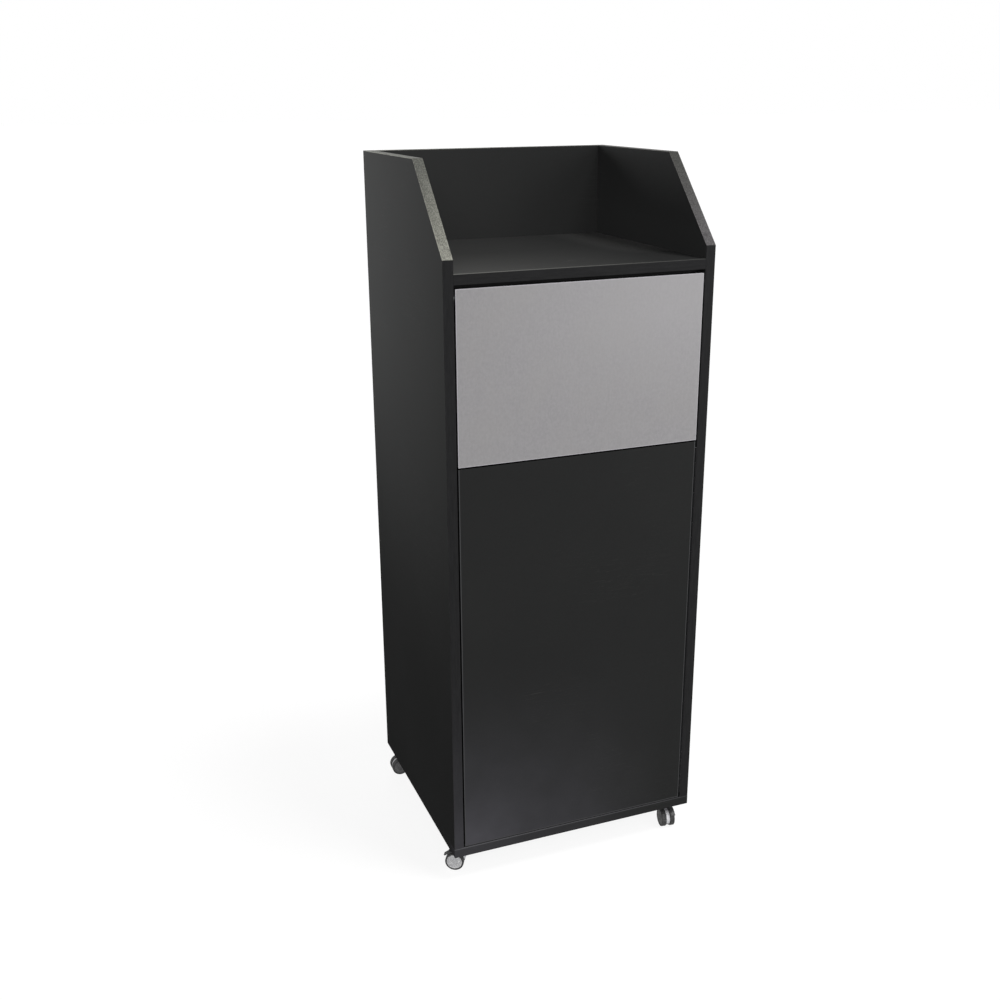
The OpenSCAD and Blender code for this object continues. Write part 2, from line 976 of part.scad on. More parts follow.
left_side();
right_side();
left_edge_band();
right_edge_band();
back_panel();
back_edge_band();
bottom_board();
tray_shelf();
tray_edge_band();
stop_rail();
flap_bumpers();
flap_bushes();
flap_core();
flap_face();
flap_pivot_pins();
door_panel();
hinge_cabinet_leaf();
hinge_door_leaf();
hinge_pin();
door_catch();
strike_plate();
bin();
bin_guides();
cam_locks();
cam_bolts();
dowels();
long_screws();
batten_screws();
cabinet_fitting_screws();
door_fitting_screws();
caster_plates();
kingpins();
caster_screws();
hood(front_left);  // front_left_hood
axle(front_left);  // front_left_axle
lever(front_left);  // front_left_lever
wheel(front_left, 1);  // front_left_wheel_a
tyre(front_left, 1);  // front_left_tyre_a
wheel(front_left, -1);  // front_left_wheel_b
tyre(front_left, -1);  // front_left_tyre_b
hood(front_right);  // front_right_hood
axle(front_right);  // front_right_axle
lever(front_right);  // front_right_lever
wheel(front_right, 1);  // front_right_wheel_a
tyre(front_right, 1);  // front_right_tyre_a
wheel(front_right, -1);  // front_right_wheel_b
tyre(front_right, -1);  // front_right_tyre_b
hood(rear_left);  // rear_left_hood
axle(rear_left);  // rear_left_axle
wheel(rear_left, 1);  // rear_left_wheel_a
tyre(rear_left, 1);  // rear_left_tyre_a
wheel(rear_left, -1);  // rear_left_wheel_b
tyre(rear_left, -1);  // rear_left_tyre_b
hood(rear_right);  // rear_right_hood
axle(rear_right);  // rear_right_axle
wheel(rear_right, 1);  // rear_right_wheel_a
tyre(rear_right, 1);  // rear_right_tyre_a
wheel(rear_right, -1);  // rear_right_wheel_b
tyre(rear_right, -1);  // rear_right_tyre_b
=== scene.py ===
import json
import math

import bmesh
import bpy
from mathutils import Matrix, Vector


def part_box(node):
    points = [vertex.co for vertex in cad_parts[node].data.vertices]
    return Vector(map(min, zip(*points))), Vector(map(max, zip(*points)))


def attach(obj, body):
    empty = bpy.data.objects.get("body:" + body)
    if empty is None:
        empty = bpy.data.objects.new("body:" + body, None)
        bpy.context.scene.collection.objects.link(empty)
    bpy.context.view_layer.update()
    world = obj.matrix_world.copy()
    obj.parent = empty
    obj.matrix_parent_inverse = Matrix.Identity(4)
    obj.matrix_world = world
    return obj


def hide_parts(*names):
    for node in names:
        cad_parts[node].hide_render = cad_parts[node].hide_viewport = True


# A tall black waste cabinet on four twin-wheel casters. The boards and flat fittings are the CAD
# nodes, with eased edges and their own finishes. What is moulded, turned or pressed is modelled here.
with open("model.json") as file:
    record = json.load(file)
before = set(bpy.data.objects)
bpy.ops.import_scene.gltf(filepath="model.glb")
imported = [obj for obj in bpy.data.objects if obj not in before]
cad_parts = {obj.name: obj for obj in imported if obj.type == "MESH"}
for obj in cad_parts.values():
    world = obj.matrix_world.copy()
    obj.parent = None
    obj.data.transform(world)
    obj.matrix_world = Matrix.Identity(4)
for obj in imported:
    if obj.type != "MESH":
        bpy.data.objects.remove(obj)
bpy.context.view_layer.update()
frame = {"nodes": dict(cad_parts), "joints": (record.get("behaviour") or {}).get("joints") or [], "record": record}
nodes = frame["nodes"]
joints = {joint["name"]: joint for joint in frame["joints"]}
mm = 0.001
print("frame loaded:", len(nodes), "nodes")


# Camera, where the photograph was taken from
photoView = {
    "place": (-0.8941, -2.1371, 1.4885),
    "yaw": 21.124,  # degrees to the right
    "pitch": -18.945,
    "roll": -0.357,
    "lens": 43.089,
    "sensor": 36,
}

cameraData = bpy.data.cameras.new("photoCamera")
cameraData.sensor_width = photoView["sensor"]
cameraData.lens = photoView["lens"]
camera = bpy.data.objects.new("photoCamera", cameraData)
bpy.context.scene.collection.objects.link(camera)
camera.matrix_world = (
    Matrix.Translation(photoView["place"])
    @ Matrix.Rotation(-math.radians(photoView["yaw"]), 4, "Z")
    @ Matrix.Rotation(math.radians(90 + photoView["pitch"]), 4, "X")
    @ Matrix.Rotation(math.radians(photoView["roll"]), 4, "Z")
)
bpy.context.scene.camera = camera
bpy.context.scene.view_settings.view_transform = "Standard"
print("camera placed")


# Small helpers for shader nodes
def addNode(tree, kind, **settings):
    node = tree.nodes.new("ShaderNode" + kind)
    for name, value in settings.items():
        setattr(node, name, value)
    return node


def wire(tree, start, end):
    tree.links.new(start, end)


def addMath(tree, operation, first, second=None, clamp=False):
    node = addNode(tree, "Math", operation=operation, use_clamp=clamp)
    for socket, value in zip(node.inputs, (first, second)):
        if isinstance(value, bpy.types.NodeSocket):
            wire(tree, value, socket)
        elif value is not None:
            socket.default_value = value
    return node.outputs[0]


def addProduct(tree, *values):
    product = values[0]
    for value in values[1:]:
        product = addMath(tree, "MULTIPLY", product, value)
    return product


def addBlend(tree, first, firstPart, second, secondPart=1):
    total = addMath(tree, "MULTIPLY_ADD", first, firstPart)
    wire(tree, addProduct(tree, second, secondPart), total.node.inputs[2])
    return total


def addOffset(tree, value, middle):  # how far a value is from a middle one
    return addMath(tree, "ABSOLUTE", addMath(tree, "SUBTRACT", value, middle))


def addRange(tree, value, fromLow, fromHigh, toLow=0.0, toHigh=1.0):
    node = addNode(tree, "MapRange")
    wire(tree, value, node.inputs["Value"])
    limits = {"From Min": fromLow, "From Max": fromHigh, "To Min": toLow, "To Max": toHigh}
    for label, number in limits.items():
        node.inputs[label].default_value = number
    return node.outputs[0]


def addNoise(tree, vector, scale, detail=2.0, roughness=0.5):
    node = addNode(tree, "TexNoise")
    wire(tree, vector, node.inputs["Vector"])
    if isinstance(scale, bpy.types.NodeSocket):
        wire(tree, scale, node.inputs["Scale"])
    else:
        node.inputs["Scale"].default_value = scale
    node.inputs["Detail"].default_value = detail
    node.inputs["Roughness"].default_value = roughness
    return node.outputs["Fac"]


def addPlace(tree, vector):
    node = addNode(tree, "SeparateXYZ")
    wire(tree, vector, node.inputs[0])
    return node.outputs


def addStretch(tree, vector, amount, turn=(0, 0, 0)):
    node = addNode(tree, "Mapping")
    wire(tree, vector, node.inputs["Vector"])
    node.inputs["Rotation"].default_value = [math.radians(angle) for angle in turn]
    node.inputs["Scale"].default_value = amount
    return node.outputs[0]


def addMix(tree, factor, first, second):
    node = addNode(tree, "Mix", data_type="RGBA")
    wire(tree, factor, node.inputs["Factor"])
    for socket, value in ((node.inputs[6], first), (node.inputs[7], second)):
        if isinstance(value, bpy.types.NodeSocket):
            wire(tree, value, socket)
        else:
            socket.default_value = (*value, 1)
    return node.outputs[2]


def addScaled(tree, colour, factor):
    node = addNode(tree, "VectorMath", operation="SCALE")
    wire(tree, colour, node.inputs[0])
    wire(tree, factor, node.inputs["Scale"])
    return node.outputs[0]


def startGroup(name, inputs, outputs):
    group = bpy.data.node_groups.new(name, "ShaderNodeTree")
    for label, kind in inputs:
        group.interface.new_socket(label, in_out="INPUT", socket_type="NodeSocket" + kind)
    for label in outputs:
        group.interface.new_socket(label, in_out="OUTPUT", socket_type="NodeSocketFloat")
    return group, group.nodes.new("NodeGroupInput").outputs, group.nodes.new("NodeGroupOutput").inputs


def addGroup(tree, group, vector, **values):
    node = tree.nodes.new("ShaderNodeGroup")
    node.node_tree = group
    wire(tree, vector, node.inputs["Vector"])
    for label, value in values.items():
        node.inputs[label].default_value = value
    return node.outputs


# Pressed or moulded skin: soft pebbles with finer specks between them
scaledSockets = (("Vector", "Vector"), ("Scale", "Float"))
pebbleSkin, given, made = startGroup("pebbleSkin", scaledSockets, ("Height", "Speck"))
pebbles = addNode(pebbleSkin, "TexVoronoi", feature="SMOOTH_F1")
wire(pebbleSkin, given["Vector"], pebbles.inputs["Vector"])
wire(pebbleSkin, given["Scale"], pebbles.inputs["Scale"])
fineSkin = addNoise(pebbleSkin, given["Vector"], addProduct(pebbleSkin, given["Scale"], 1.7), 3, 0.6)
wire(pebbleSkin, addBlend(pebbleSkin, pebbles.outputs["Distance"], 0.6, fineSkin), made["Height"])
speckNoise = addNoise(pebbleSkin, given["Vector"], addProduct(pebbleSkin, given["Scale"], 0.9), 2, 0.7)
wire(pebbleSkin, addRange(pebbleSkin, speckNoise, 0.5, 0.68), made["Speck"])

# Long fibres or brush lines; the vector comes in already stretched along them
brushLines, given, made = startGroup("brushLines", scaledSockets, ("Tone", "Height"))
wideLines = addNoise(brushLines, given["Vector"], given["Scale"], 5, 0.62)
thinLines = addNoise(brushLines, given["Vector"], addProduct(brushLines, given["Scale"], 3.7), 3, 0.7)
lineSum = addBlend(brushLines, thinLines, 0.45, wideLines, 0.55)
wire(brushLines, addRange(brushLines, lineSum, 0.36, 0.64), made["Tone"])
wire(brushLines, lineSum, made["Height"])

# Handling: broad smudges and sparse hairline scratches
handling, given, made = startGroup("handling", scaledSockets, ("Smudge", "Scratch"))
smudgeNoise = addNoise(handling, given["Vector"], given["Scale"], 4, 0.55)
wire(handling, addRange(handling, smudgeNoise, 0.38, 0.66), made["Smudge"])
scratchMasks = []
for scratchTurn in ((17, 8, 31), (-24, 12, -47)):
    scratchVector = addStretch(handling, given["Vector"], (9, 9, 260), scratchTurn)
    scratchLine = addOffset(handling, addNoise(handling, scratchVector, 1, 1), 0.5)
    scratchMasks.append(addRange(handling, scratchLine, 0.0, 0.006, 1.0, 0.0))
anyScratch = addMath(handling, "MAXIMUM", *scratchMasks)
whereScratched = addRange(handling, addNoise(handling, given["Vector"], 5.5, 1), 0.55, 0.66)
wire(handling, addProduct(handling, anyScratch, whereScratched), made["Scratch"])

# A line along the edges of a box, where the middle one of the distances to its faces is small
boxSockets = (("Vector", "Vector"), ("Low", "Vector"), ("High", "Vector"), ("Width", "Float"))
edgeLine, given, made = startGroup("edgeLine", boxSockets, ("Mask",))
fromFaces = addNode(edgeLine, "VectorMath", operation="MINIMUM")
for count, (first, second) in enumerate((("Vector", "Low"), ("High", "Vector"))):
    fromFace = addNode(edgeLine, "VectorMath", operation="SUBTRACT")
    wire(edgeLine, given[first], fromFace.inputs[0])
    wire(edgeLine, given[second], fromFace.inputs[1])
    wire(edgeLine, fromFace.outputs[0], fromFaces.inputs[count])
away = addPlace(edgeLine, fromFaces.outputs[0])
smaller = addMath(edgeLine, "MINIMUM", away["X"], away["Y"])
larger = addMath(edgeLine, "MAXIMUM", away["X"], away["Y"])
middle = addMath(edgeLine, "MAXIMUM", smaller, addMath(edgeLine, "MINIMUM", larger, away["Z"]))
wire(edgeLine, addRange(edgeLine, addMath(edgeLine, "DIVIDE", middle, given["Width"]), 1, 0.6), made["Mask"])
print("shader groups built")


# A material on Object coordinates: its tree, its vector and its shader
def startMaterial(name, roughness, metallic=0.0, specular=0.5):
    material = bpy.data.materials.new(name)
    material.use_nodes = True
    tree = material.node_tree
    shader = tree.nodes["Principled BSDF"]
    shader.inputs["Roughness"].default_value = roughness
    shader.inputs["Metallic"].default_value = metallic
    shader.inputs["Specular IOR Level"].default_value = specular
    return material, tree, addNode(tree, "TexCoord").outputs["Object"], shader.inputs


def coat(tree, shader, tone, wear, rough, height, strength, distance):  # rough at no wear and at full wear
    wire(tree, tone, shader["Base Color"])
    wire(tree, addRange(tree, wear, 0, 1, *rough), shader["Roughness"])
    bump = addNode(tree, "Bump")
    bump.inputs["Strength"].default_value = strength
    bump.inputs["Distance"].default_value = distance
    wire(tree, height, bump.inputs["Height"])
    wire(tree, bump.outputs["Normal"], shader["Normal"])


# Painted light and shade that lie over a board's or band's own colour
def addPaintedFloorReflection(tree, vector, colour, most):  # a painted reflection of the floor, low on the front and brightest at its left corner
    paintedReflection = {
        "colour": (0.09, 0.088, 0.1), "foot": 0.08, "fade": 0.5, "left": -0.26, "right": 0.2,
        "behind": -0.2, "front": -0.23, "patches": 14,
    }
    place = addPlace(tree, vector)
    low = addRange(tree, place["Z"], paintedReflection["fade"], paintedReflection["foot"])
    side = addRange(tree, place["X"], paintedReflection["right"], paintedReflection["left"])
    front = addRange(tree, place["Y"], paintedReflection["behind"], paintedReflection["front"])
    patchy = addRange(tree, addNoise(tree, vector, paintedReflection["patches"], 3), 0.2, 0.8, 0.7, 1.2)
    mask = addMath(tree, "MULTIPLY", addProduct(tree, low, low, side, front, patchy), most, True)
    return addMix(tree, mask, colour, paintedReflection["colour"])


def addPaintedShelfLight(tree, vector, colour):  # painted light on the shelf, strongest in its front left corner, and a painted strip of light near its right side that lifts the side panel's shade
    shelfLight = {
        "colour": (0.09, 0.09, 0.087), "most": 0.6, "top": 1.1965,
        "left": -0.22, "right": 0.16, "front": -0.235, "middle": 0, "middleShare": 0.33,
        "stripIn": 0.11, "stripOut": 0.24, "stripShare": 0.55, "stripFront": -0.13, "stripBack": -0.04,
    }
    place = addPlace(tree, vector)
    side = addRange(tree, place["X"], shelfLight["right"], shelfLight["left"])
    depth = addRange(tree, place["Y"], shelfLight["middle"], shelfLight["front"], shelfLight["middleShare"], 1)
    strip = addRange(tree, place["X"], shelfLight["stripIn"], shelfLight["stripOut"], 0, shelfLight["stripShare"])
    back = addRange(tree, place["Y"], shelfLight["stripFront"], shelfLight["stripBack"])
    top = addRange(tree, place["Z"], shelfLight["top"], shelfLight["top"] + 0.5 * mm)
    mask = addMath(tree, "MAXIMUM", addProduct(tree, side, depth), addProduct(tree, strip, back))
    mask = addMath(tree, "MULTIPLY", addProduct(tree, mask, top), shelfLight["most"], True)
    return addMix(tree, mask, colour, shelfLight["colour"])


def addPaintedEdgeHighlight(tree, vector, colour, rim):  # a painted highlight along the edges, fading from left to right
    low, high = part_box(rim["node"])
    for limit, axes, far in ((low, rim.get("without low", ""), -9), (high, rim.get("without high", ""), 9)):
        for axis in axes:
            limit["XYZ".index(axis)] = far
    line = addGroup(tree, edgeLine, vector, Low=low, High=high, Width=rim["width"])
    fade = addRange(tree, addPlace(tree, vector)["X"], 0.25, -0.25, rim["right"], rim["left"])
    return addMix(tree, addProduct(tree, line["Mask"], fade), colour, rim["colour"])


def addPaintedGapShade(tree, vector, colour, board, dark):  # painted shade on the faces round a board's edge, behind its front arris, where they lie in the gaps
    low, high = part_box(board)
    fromMiddle = addOffset(tree, addPlace(tree, vector)["Y"], (low.y + high.y) / 2)
    behind = addMath(tree, "SUBTRACT", fromMiddle, (high.y - low.y) / 2)
    return addMix(tree, addRange(tree, behind, -1.1 * mm, -1.3 * mm), colour, dark)


def addPaintedRecessFill(tree, vector, colour, recessFill):  # painted fill light on the walls round the tray, paler inside it
    room = {"side": 0.2415, "back": 0.2195, "foot": 1.1965, "low": 1.24, "high": 1.35}
    place = addPlace(tree, vector)
    inner = addMath(tree, "ABSOLUTE", place["X"])
    gain = addProduct(
        tree,
        addRange(tree, place["Y"], room["back"], room["back"] - mm),
        addRange(tree, inner, room["side"], room["side"] - 0.4 * mm),
        addRange(tree, place["Z"], room["foot"], room["foot"] + mm),
        addRange(tree, place["X"], -room["side"], room["side"], recessFill["left"] - 1, recessFill["right"] - 1),
        addRange(tree, place["Z"], room["high"], room["low"], recessFill["high"], 1),
    )
    return addScaled(tree, colour, addMath(tree, "ADD", gain, 1))


# The finishes
# rim paints a highlight along the edges, and edge a painted shade on the edge faces in the gaps
def makeBlackBoard(name, dust=0, rim=None, shelfLight=False, recessFill=None, edge=False):  # fine pearl melamine
    look = {
        "dark": (0.0204, 0.0207, 0.0207), "light": (0.0236, 0.0239, 0.0237), "mark": (0.05, 0.05, 0.048),
        "edge": (0.006, 0.006, 0.0065), "skin": 620, "smudge": 3.2,
    }
    material, tree, vector, shader = startMaterial(name, 0.55, specular=0.002)
    skin = addGroup(tree, pebbleSkin, vector, Scale=look["skin"])
    handled = addGroup(tree, handling, vector, Scale=look["smudge"])
    uneven = addBlend(tree, skin["Speck"], 0.5, handled["Smudge"], 0.5)
    tone = addMix(tree, uneven, look["dark"], look["light"])
    tone = addMix(tree, addProduct(tree, handled["Scratch"], 0.35), tone, look["mark"])
    # painted fill light inside the tray
    if recessFill:
        tone = addPaintedRecessFill(tree, vector, tone, recessFill)
    # painted light on the shelf
    if shelfLight:
        tone = addPaintedShelfLight(tree, vector, tone)
    # painted reflection of the floor, low on the front
    if dust:
        tone = addPaintedFloorReflection(tree, vector, tone, dust)
    # painted shade on the edge faces in the gaps, in the look's edge colour
    if edge:
        tone = addPaintedGapShade(tree, vector, tone, rim["node"], look["edge"])
    # painted highlight along the edges
    if rim:
        tone = addPaintedEdgeHighlight(tree, vector, tone, rim)
    coat(tree, shader, tone, handled["Smudge"], (0.55, 0.64), skin["Height"], 0.35, 0.12 * mm)
    return material


def makeEdgeBand(name, along, rim=None):  # plain on the front; paler and speckled on the slopes and tops, with a painted highlight, brightest low on the left slope
    look = {
        "dark": (0.0145, 0.0145, 0.015), "light": (0.0205, 0.0205, 0.0212), "grain": 210, "skin": 900,
        "slope": 1.2205, "top": 1.36, "fleck": 600, "line": 1.1 * mm, "dust": 0.36,
        "middle": 0.2505, "half": 9.5 * mm,
        # slope colours: the band's paler colour with a painted highlight
        "leftLow": (0.197, 0.197, 0.171), "leftHigh": (0.092, 0.093, 0.083),
        "rightLow": (0.083, 0.079, 0.081), "rightHigh": (0.049, 0.049, 0.0457),
    }
    material, tree, vector, shader = startMaterial(name, 0.4, specular=0.02)
    grain = addGroup(tree, brushLines, addStretch(tree, vector, along), Scale=look["grain"])
    skin = addGroup(tree, pebbleSkin, vector, Scale=look["skin"])
    place = addPlace(tree, vector)
    front = addMix(tree, grain["Tone"], look["dark"], look["light"])
    # painted highlight: the left slope lighter than the right, each lighter at its low end
    rise = addRange(tree, place["Z"], look["slope"], look["top"])
    left = addMix(tree, rise, look["leftLow"], look["leftHigh"])
    right = addMix(tree, rise, look["rightLow"], look["rightHigh"])
    slope = addMix(tree, addRange(tree, place["X"], -mm, mm), left, right)
    fleckNoise = addNoise(tree, addStretch(tree, vector, (1, 0.7, 0.7)), look["fleck"], 3, 0.6)
    fleck = addRange(tree, fleckNoise, 0.34, 0.66, 0.5, 1.5)
    across = addOffset(tree, addMath(tree, "ABSOLUTE", place["X"]), look["middle"])
    lineStart = look["half"] - look["line"]
    outline = addRange(tree, across, lineStart, lineStart + 0.5 * look["line"], 1, 1.35)
    speckled = addScaled(tree, slope, addProduct(tree, fleck, outline))
    raised = addRange(tree, place["Z"], look["slope"] - 0.2 * mm, look["slope"] + 0.8 * mm)
    # painted reflection of the floor, low on the front of the bands
    tone = addPaintedFloorReflection(tree, vector, addMix(tree, raised, front, speckled), look["dust"])
    # painted highlight along the edges
    if rim:
        tone = addPaintedEdgeHighlight(tree, vector, tone, rim)
    height = addBlend(tree, skin["Height"], 0.4, grain["Height"])
    coat(tree, shader, tone, grain["Tone"], (0.48, 0.36), height, 0.4, 0.3 * mm)
    return material


def makeFlapLaminate():  # light grey, mottled, with a fine upright brushed grain
    look = {
        "dark": (0.228, 0.222, 0.229), "light": (0.275, 0.268, 0.274), "warm": (0.262, 0.255, 0.252),
        "pale": (0.31, 0.303, 0.31), "grain": 700, "mottle": 230, "cloud": 9,
    }
    # rim is a painted highlight along the flap's edges
    rim = {"node": "flap_face", "width": 1.6 * mm, "colour": (0.37, 0.36, 0.38), "left": 1, "right": 1}
    material, tree, vector, shader = startMaterial("flapLaminate", 0.5, specular=0.3)
    grain = addGroup(tree, brushLines, addStretch(tree, vector, (1, 1, 0.06)), Scale=look["grain"])
    handled = addGroup(tree, handling, vector, Scale=look["cloud"])
    mottleNoise = addNoise(tree, addStretch(tree, vector, (1, 1, 0.8)), look["mottle"], 2, 0.6)
    uneven = addBlend(tree, grain["Tone"], 0.35, addRange(tree, mottleNoise, 0.3, 0.7), 0.65)
    tone = addMix(tree, uneven, look["dark"], look["light"])
    tone = addMix(tree, addProduct(tree, handled["Smudge"], 0.4), tone, look["warm"])
    place = addPlace(tree, vector)
    # painted light: the flap paler towards its upper right
    toTop = addRange(tree, place["Z"], 0.93, 1.1)
    upperRightPaintedLight = addProduct(tree, addRange(tree, place["X"], -0.2, 0.15), toTop, 0.5)
    tone = addMix(tree, upperRightPaintedLight, tone, look["pale"])
    # painted highlight along the edges
    tone = addPaintedEdgeHighlight(tree, vector, tone, rim)
    coat(tree, shader, tone, grain["Tone"], (0.58, 0.46), grain["Height"], 0.2, 0.1 * mm)
    return material


def makeMoulding(name, dark, light, grain, rough, specular=0.5, bump=0.3, shade=None):  # plastic or rubber
    material, tree, vector, shader = startMaterial(name, rough, specular=specular)
    skin = addGroup(tree, pebbleSkin, vector, Scale=grain)
    handled = addGroup(tree, handling, vector, Scale=11)
    scratched = [0.25 + 0.6 * channel for channel in light]
    tone = addMix(tree, skin["Speck"], dark, light)
    tone = addMix(tree, addProduct(tree, handled["Scratch"], 0.5), tone, scratched)
    # painted shade, darker bands at the given heights
    if shade:
        for start, end in shade["heights"]:
            height = addPlace(tree, vector)["Z"]
            tone = addMix(tree, addRange(tree, height, start, end, 0, shade["most"]), tone, shade["colour"])
    worn = (rough - 0.06, rough + 0.08)
    coat(tree, shader, tone, handled["Smudge"], worn, skin["Height"], bump, 0.1 * mm)
    return material


def makeMetal(name, dark, light, rough, alongX=False):  # plated or die-cast metal with fine working marks
    material, tree, vector, shader = startMaterial(name, rough, metallic=1.0)
    stretch = (0.12, 1, 1) if alongX else (1, 1, 0.12)
    marks = addGroup(tree, brushLines, addStretch(tree, vector, stretch), Scale=1400)
    handled = addGroup(tree, handling, vector, Scale=40)
    smudged = [0.7 * channel for channel in dark]
    tone = addMix(tree, marks["Tone"], dark, light)
    tone = addMix(tree, addProduct(tree, handled["Smudge"], 0.35), tone, smudged)
    worn = (rough - 0.05, rough + 0.14)
    coat(tree, shader, tone, handled["Smudge"], worn, marks["Height"], 0.15, 0.05 * mm)
    return material


def makeBeech():  # dowel wood with flecks along the grain
    look = {"dark": (0.5, 0.34, 0.19), "light": (0.68, 0.5, 0.31), "along": (0.07, 1, 1), "grain": 900}
    material, tree, vector, shader = startMaterial("beech", 0.6, specular=0.3)
    grain = addGroup(tree, brushLines, addStretch(tree, vector, look["along"]), Scale=look["grain"])
    tone = addMix(tree, grain["Tone"], look["dark"], look["light"])
    coat(tree, shader, tone, grain["Tone"], (0.7, 0.55), grain["Height"], 0.3, 0.1 * mm)
    return material


hoodShade = {  # painted shade on the top and foot of the web between the wheels
    "heights": ((33 * mm, 37 * mm), (13 * mm, 8 * mm)), "most": 0.85, "colour": (0.06, 0.052, 0.066),
}
finishes = {
    "black_board": makeBlackBoard("blackBoard"),
    "edge_band": makeEdgeBand("edgeBand", (1, 1, 0.12)),
    "flap_core": makeMoulding(
        "flapCore", (0.012, 0.012, 0.013), (0.024, 0.024, 0.025), grain=700, rough=0.45, specular=0.3
    ),
    "flap_laminate": makeFlapLaminate(),
    "hinge_black": makeMoulding(
        "hingeEnamel", (0.006, 0.006, 0.0065), (0.01, 0.01, 0.0105), grain=1500, rough=0.5,
        specular=0.05, bump=0.12,
    ),
    "zinc_steel": makeMetal("zincSteel", (0.42, 0.43, 0.45), (0.66, 0.67, 0.69), rough=0.32),
    "cam_zinc": makeMetal("castZinc", (0.36, 0.36, 0.36), (0.55, 0.55, 0.54), rough=0.45, alongX=True),
    "dowel_wood": makeBeech(),
    "bumper_rubber": makeMoulding(
        "bumperRubber", (0.015, 0.015, 0.015), (0.03, 0.03, 0.03), grain=1600, rough=0.7, specular=0.3
    ),
    "nylon": makeMoulding(
        "blackNylon", (0.02, 0.02, 0.02), (0.032, 0.032, 0.032), grain=1800, rough=0.4, specular=0.4, bump=0.1
    ),
    "catch_plastic": makeMoulding(
        "catchPlastic", (0.02, 0.02, 0.021), (0.035, 0.035, 0.036), grain=1700, rough=0.5
    ),
    "bin_plastic": makeMoulding(
        "binPlastic", (0.045, 0.048, 0.052), (0.066, 0.07, 0.075), grain=520, rough=0.48,
        specular=0.45, bump=0.4,
    ),
    "caster_hood": makeMoulding(
        "casterHood", (0.6, 0.6, 0.62), (0.72, 0.72, 0.74), grain=1300, rough=0.28,
        specular=0.6, bump=0.08, shade=hoodShade,
    ),
    "wheel_plastic": makeMoulding(
        "wheelPlastic", (0.48, 0.48, 0.49), (0.84, 0.84, 0.84), grain=380, rough=0.5, specular=0.2, bump=0.35
    ),
    "tyre_rubber": makeMoulding(
        "tyreRubber", (0.01, 0.01, 0.0105), (0.022, 0.022, 0.023), grain=1200, rough=0.55, specular=0.45
    ),
    "lever_plastic": makeMoulding(
        "leverPlastic", (0.014, 0.014, 0.015), (0.026, 0.026, 0.027), grain=1200, rough=0.45
    ),
}
# painted shade: a darker copy of the wheel plastic for the discs that lie in shade
shadedDisc = makeMoulding(
    "shadedDisc", (0.09, 0.09, 0.092), (0.17, 0.17, 0.172), grain=620, rough=0.5, specular=0.3, bump=0.35
)
# Painted highlights along the edges of the door, the bottom board and the shelf and its band
doorEdgeHighlight = {
    "node": "door_panel", "width": 1.9 * mm, "colour": (0.064, 0.065, 0.067), "left": 1, "right": 1,
    "without high": "Z",
}
baseEdgeHighlight = {
    "node": "bottom_board", "width": 2.2 * mm, "colour": (0.095, 0.094, 0.1), "left": 1, "right": 0.35,
    "without low": "XZ", "without high": "XY",
}
shelfEdgeHighlight = {
    "node": "tray_edge_band", "width": 1.5 * mm, "colour": (0.12, 0.12, 0.113), "left": 1, "right": 0.2,
    "without low": "XZ", "without high": "XY",
}
ownFinishes = {  # boards and bands with painted edge highlights, a painted floor reflection, painted shade or painted light of their own
    "door_panel": makeBlackBoard("doorBoard", dust=0.63, rim=doorEdgeHighlight, edge=True),
    "bottom_board": makeBlackBoard("baseBoard", dust=0.32, rim=baseEdgeHighlight),
    "tray_shelf": makeBlackBoard("shelfBoard", rim=shelfEdgeHighlight, shelfLight=True),
    "tray_edge_band": makeEdgeBand("shelfBand", (0.12, 1, 1), shelfEdgeHighlight),
    "right_side": makeBlackBoard("rightBoard", recessFill={"left": 1.7, "right": 1.7, "high": 0.45}),
    "back_panel": makeBlackBoard("backBoard", recessFill={"left": 1.3, "right": 0.97, "high": 1}),
}
slotOf = {part["node"]: part["material_slot"] for part in frame["record"]["subparts"]}
for nodeName, node in nodes.items():
    node.data.materials.clear()
    node.data.materials.append(ownFinishes.get(nodeName, finishes[slotOf[nodeName]]))
print("finishes on the CAD nodes:", len(finishes))


# Every board and pressed part has its edges eased a little, as a live weld and bevel
easedEdges = {
    "left_side": 0.35, "right_side": 0.35, "back_panel": 0.35, "bottom_board": 0.7, "tray_shelf": 0.35,
    "left_edge_band": 0.4, "right_edge_band": 0.4, "back_edge_band": 0.35, "tray_edge_band": 0.4,
    "stop_rail": 0.5, "door_panel": 0.7, "flap_core": 0.4, "flap_face": 0.25, "bin_guides": 0.8,
    "strike_plate": 0.2, "caster_plates": 0.35, "flap_bushes": 0.15,
    "hinge_cabinet_leaf": 0.15, "hinge_door_leaf": 0.15,
}
for nodeName, width in easedEdges.items():
    weld = nodes[nodeName].modifiers.new("Weld", "WELD")
    weld.merge_threshold = 0.005 * mm
    bevel = nodes[nodeName].modifiers.new("Eased edges", "BEVEL")
    bevel.width = width * mm
    bevel.segments = 2
    bevel.limit_method = "ANGLE"
    bevel.angle_limit = math.radians(40)
print("edges eased on", len(easedEdges), "nodes")


# Modelling helpers
def clearSelection():
    if bpy.context.object and bpy.context.object.mode != "OBJECT":
        bpy.ops.object.mode_set(mode="OBJECT")
    bpy.ops.object.select_all(action="DESELECT")


def takeUp(piece):
    clearSelection()
    piece.select_set(True)
    bpy.context.view_layer.objects.active = piece


def settle(piece):  # puts the place into the mesh, so that the object sits at the origin
    takeUp(piece)
    bpy.ops.object.transform_apply(location=True, rotation=True, scale=True)
    return piece


def addBox(name, low, high):
    clearSelection()
    bpy.ops.mesh.primitive_cube_add(size=1)
    piece = bpy.context.object
    piece.name = name
    piece.scale = Vector(high) - Vector(low)
    piece.location = (Vector(high) + Vector(low)) / 2
    return settle(piece)


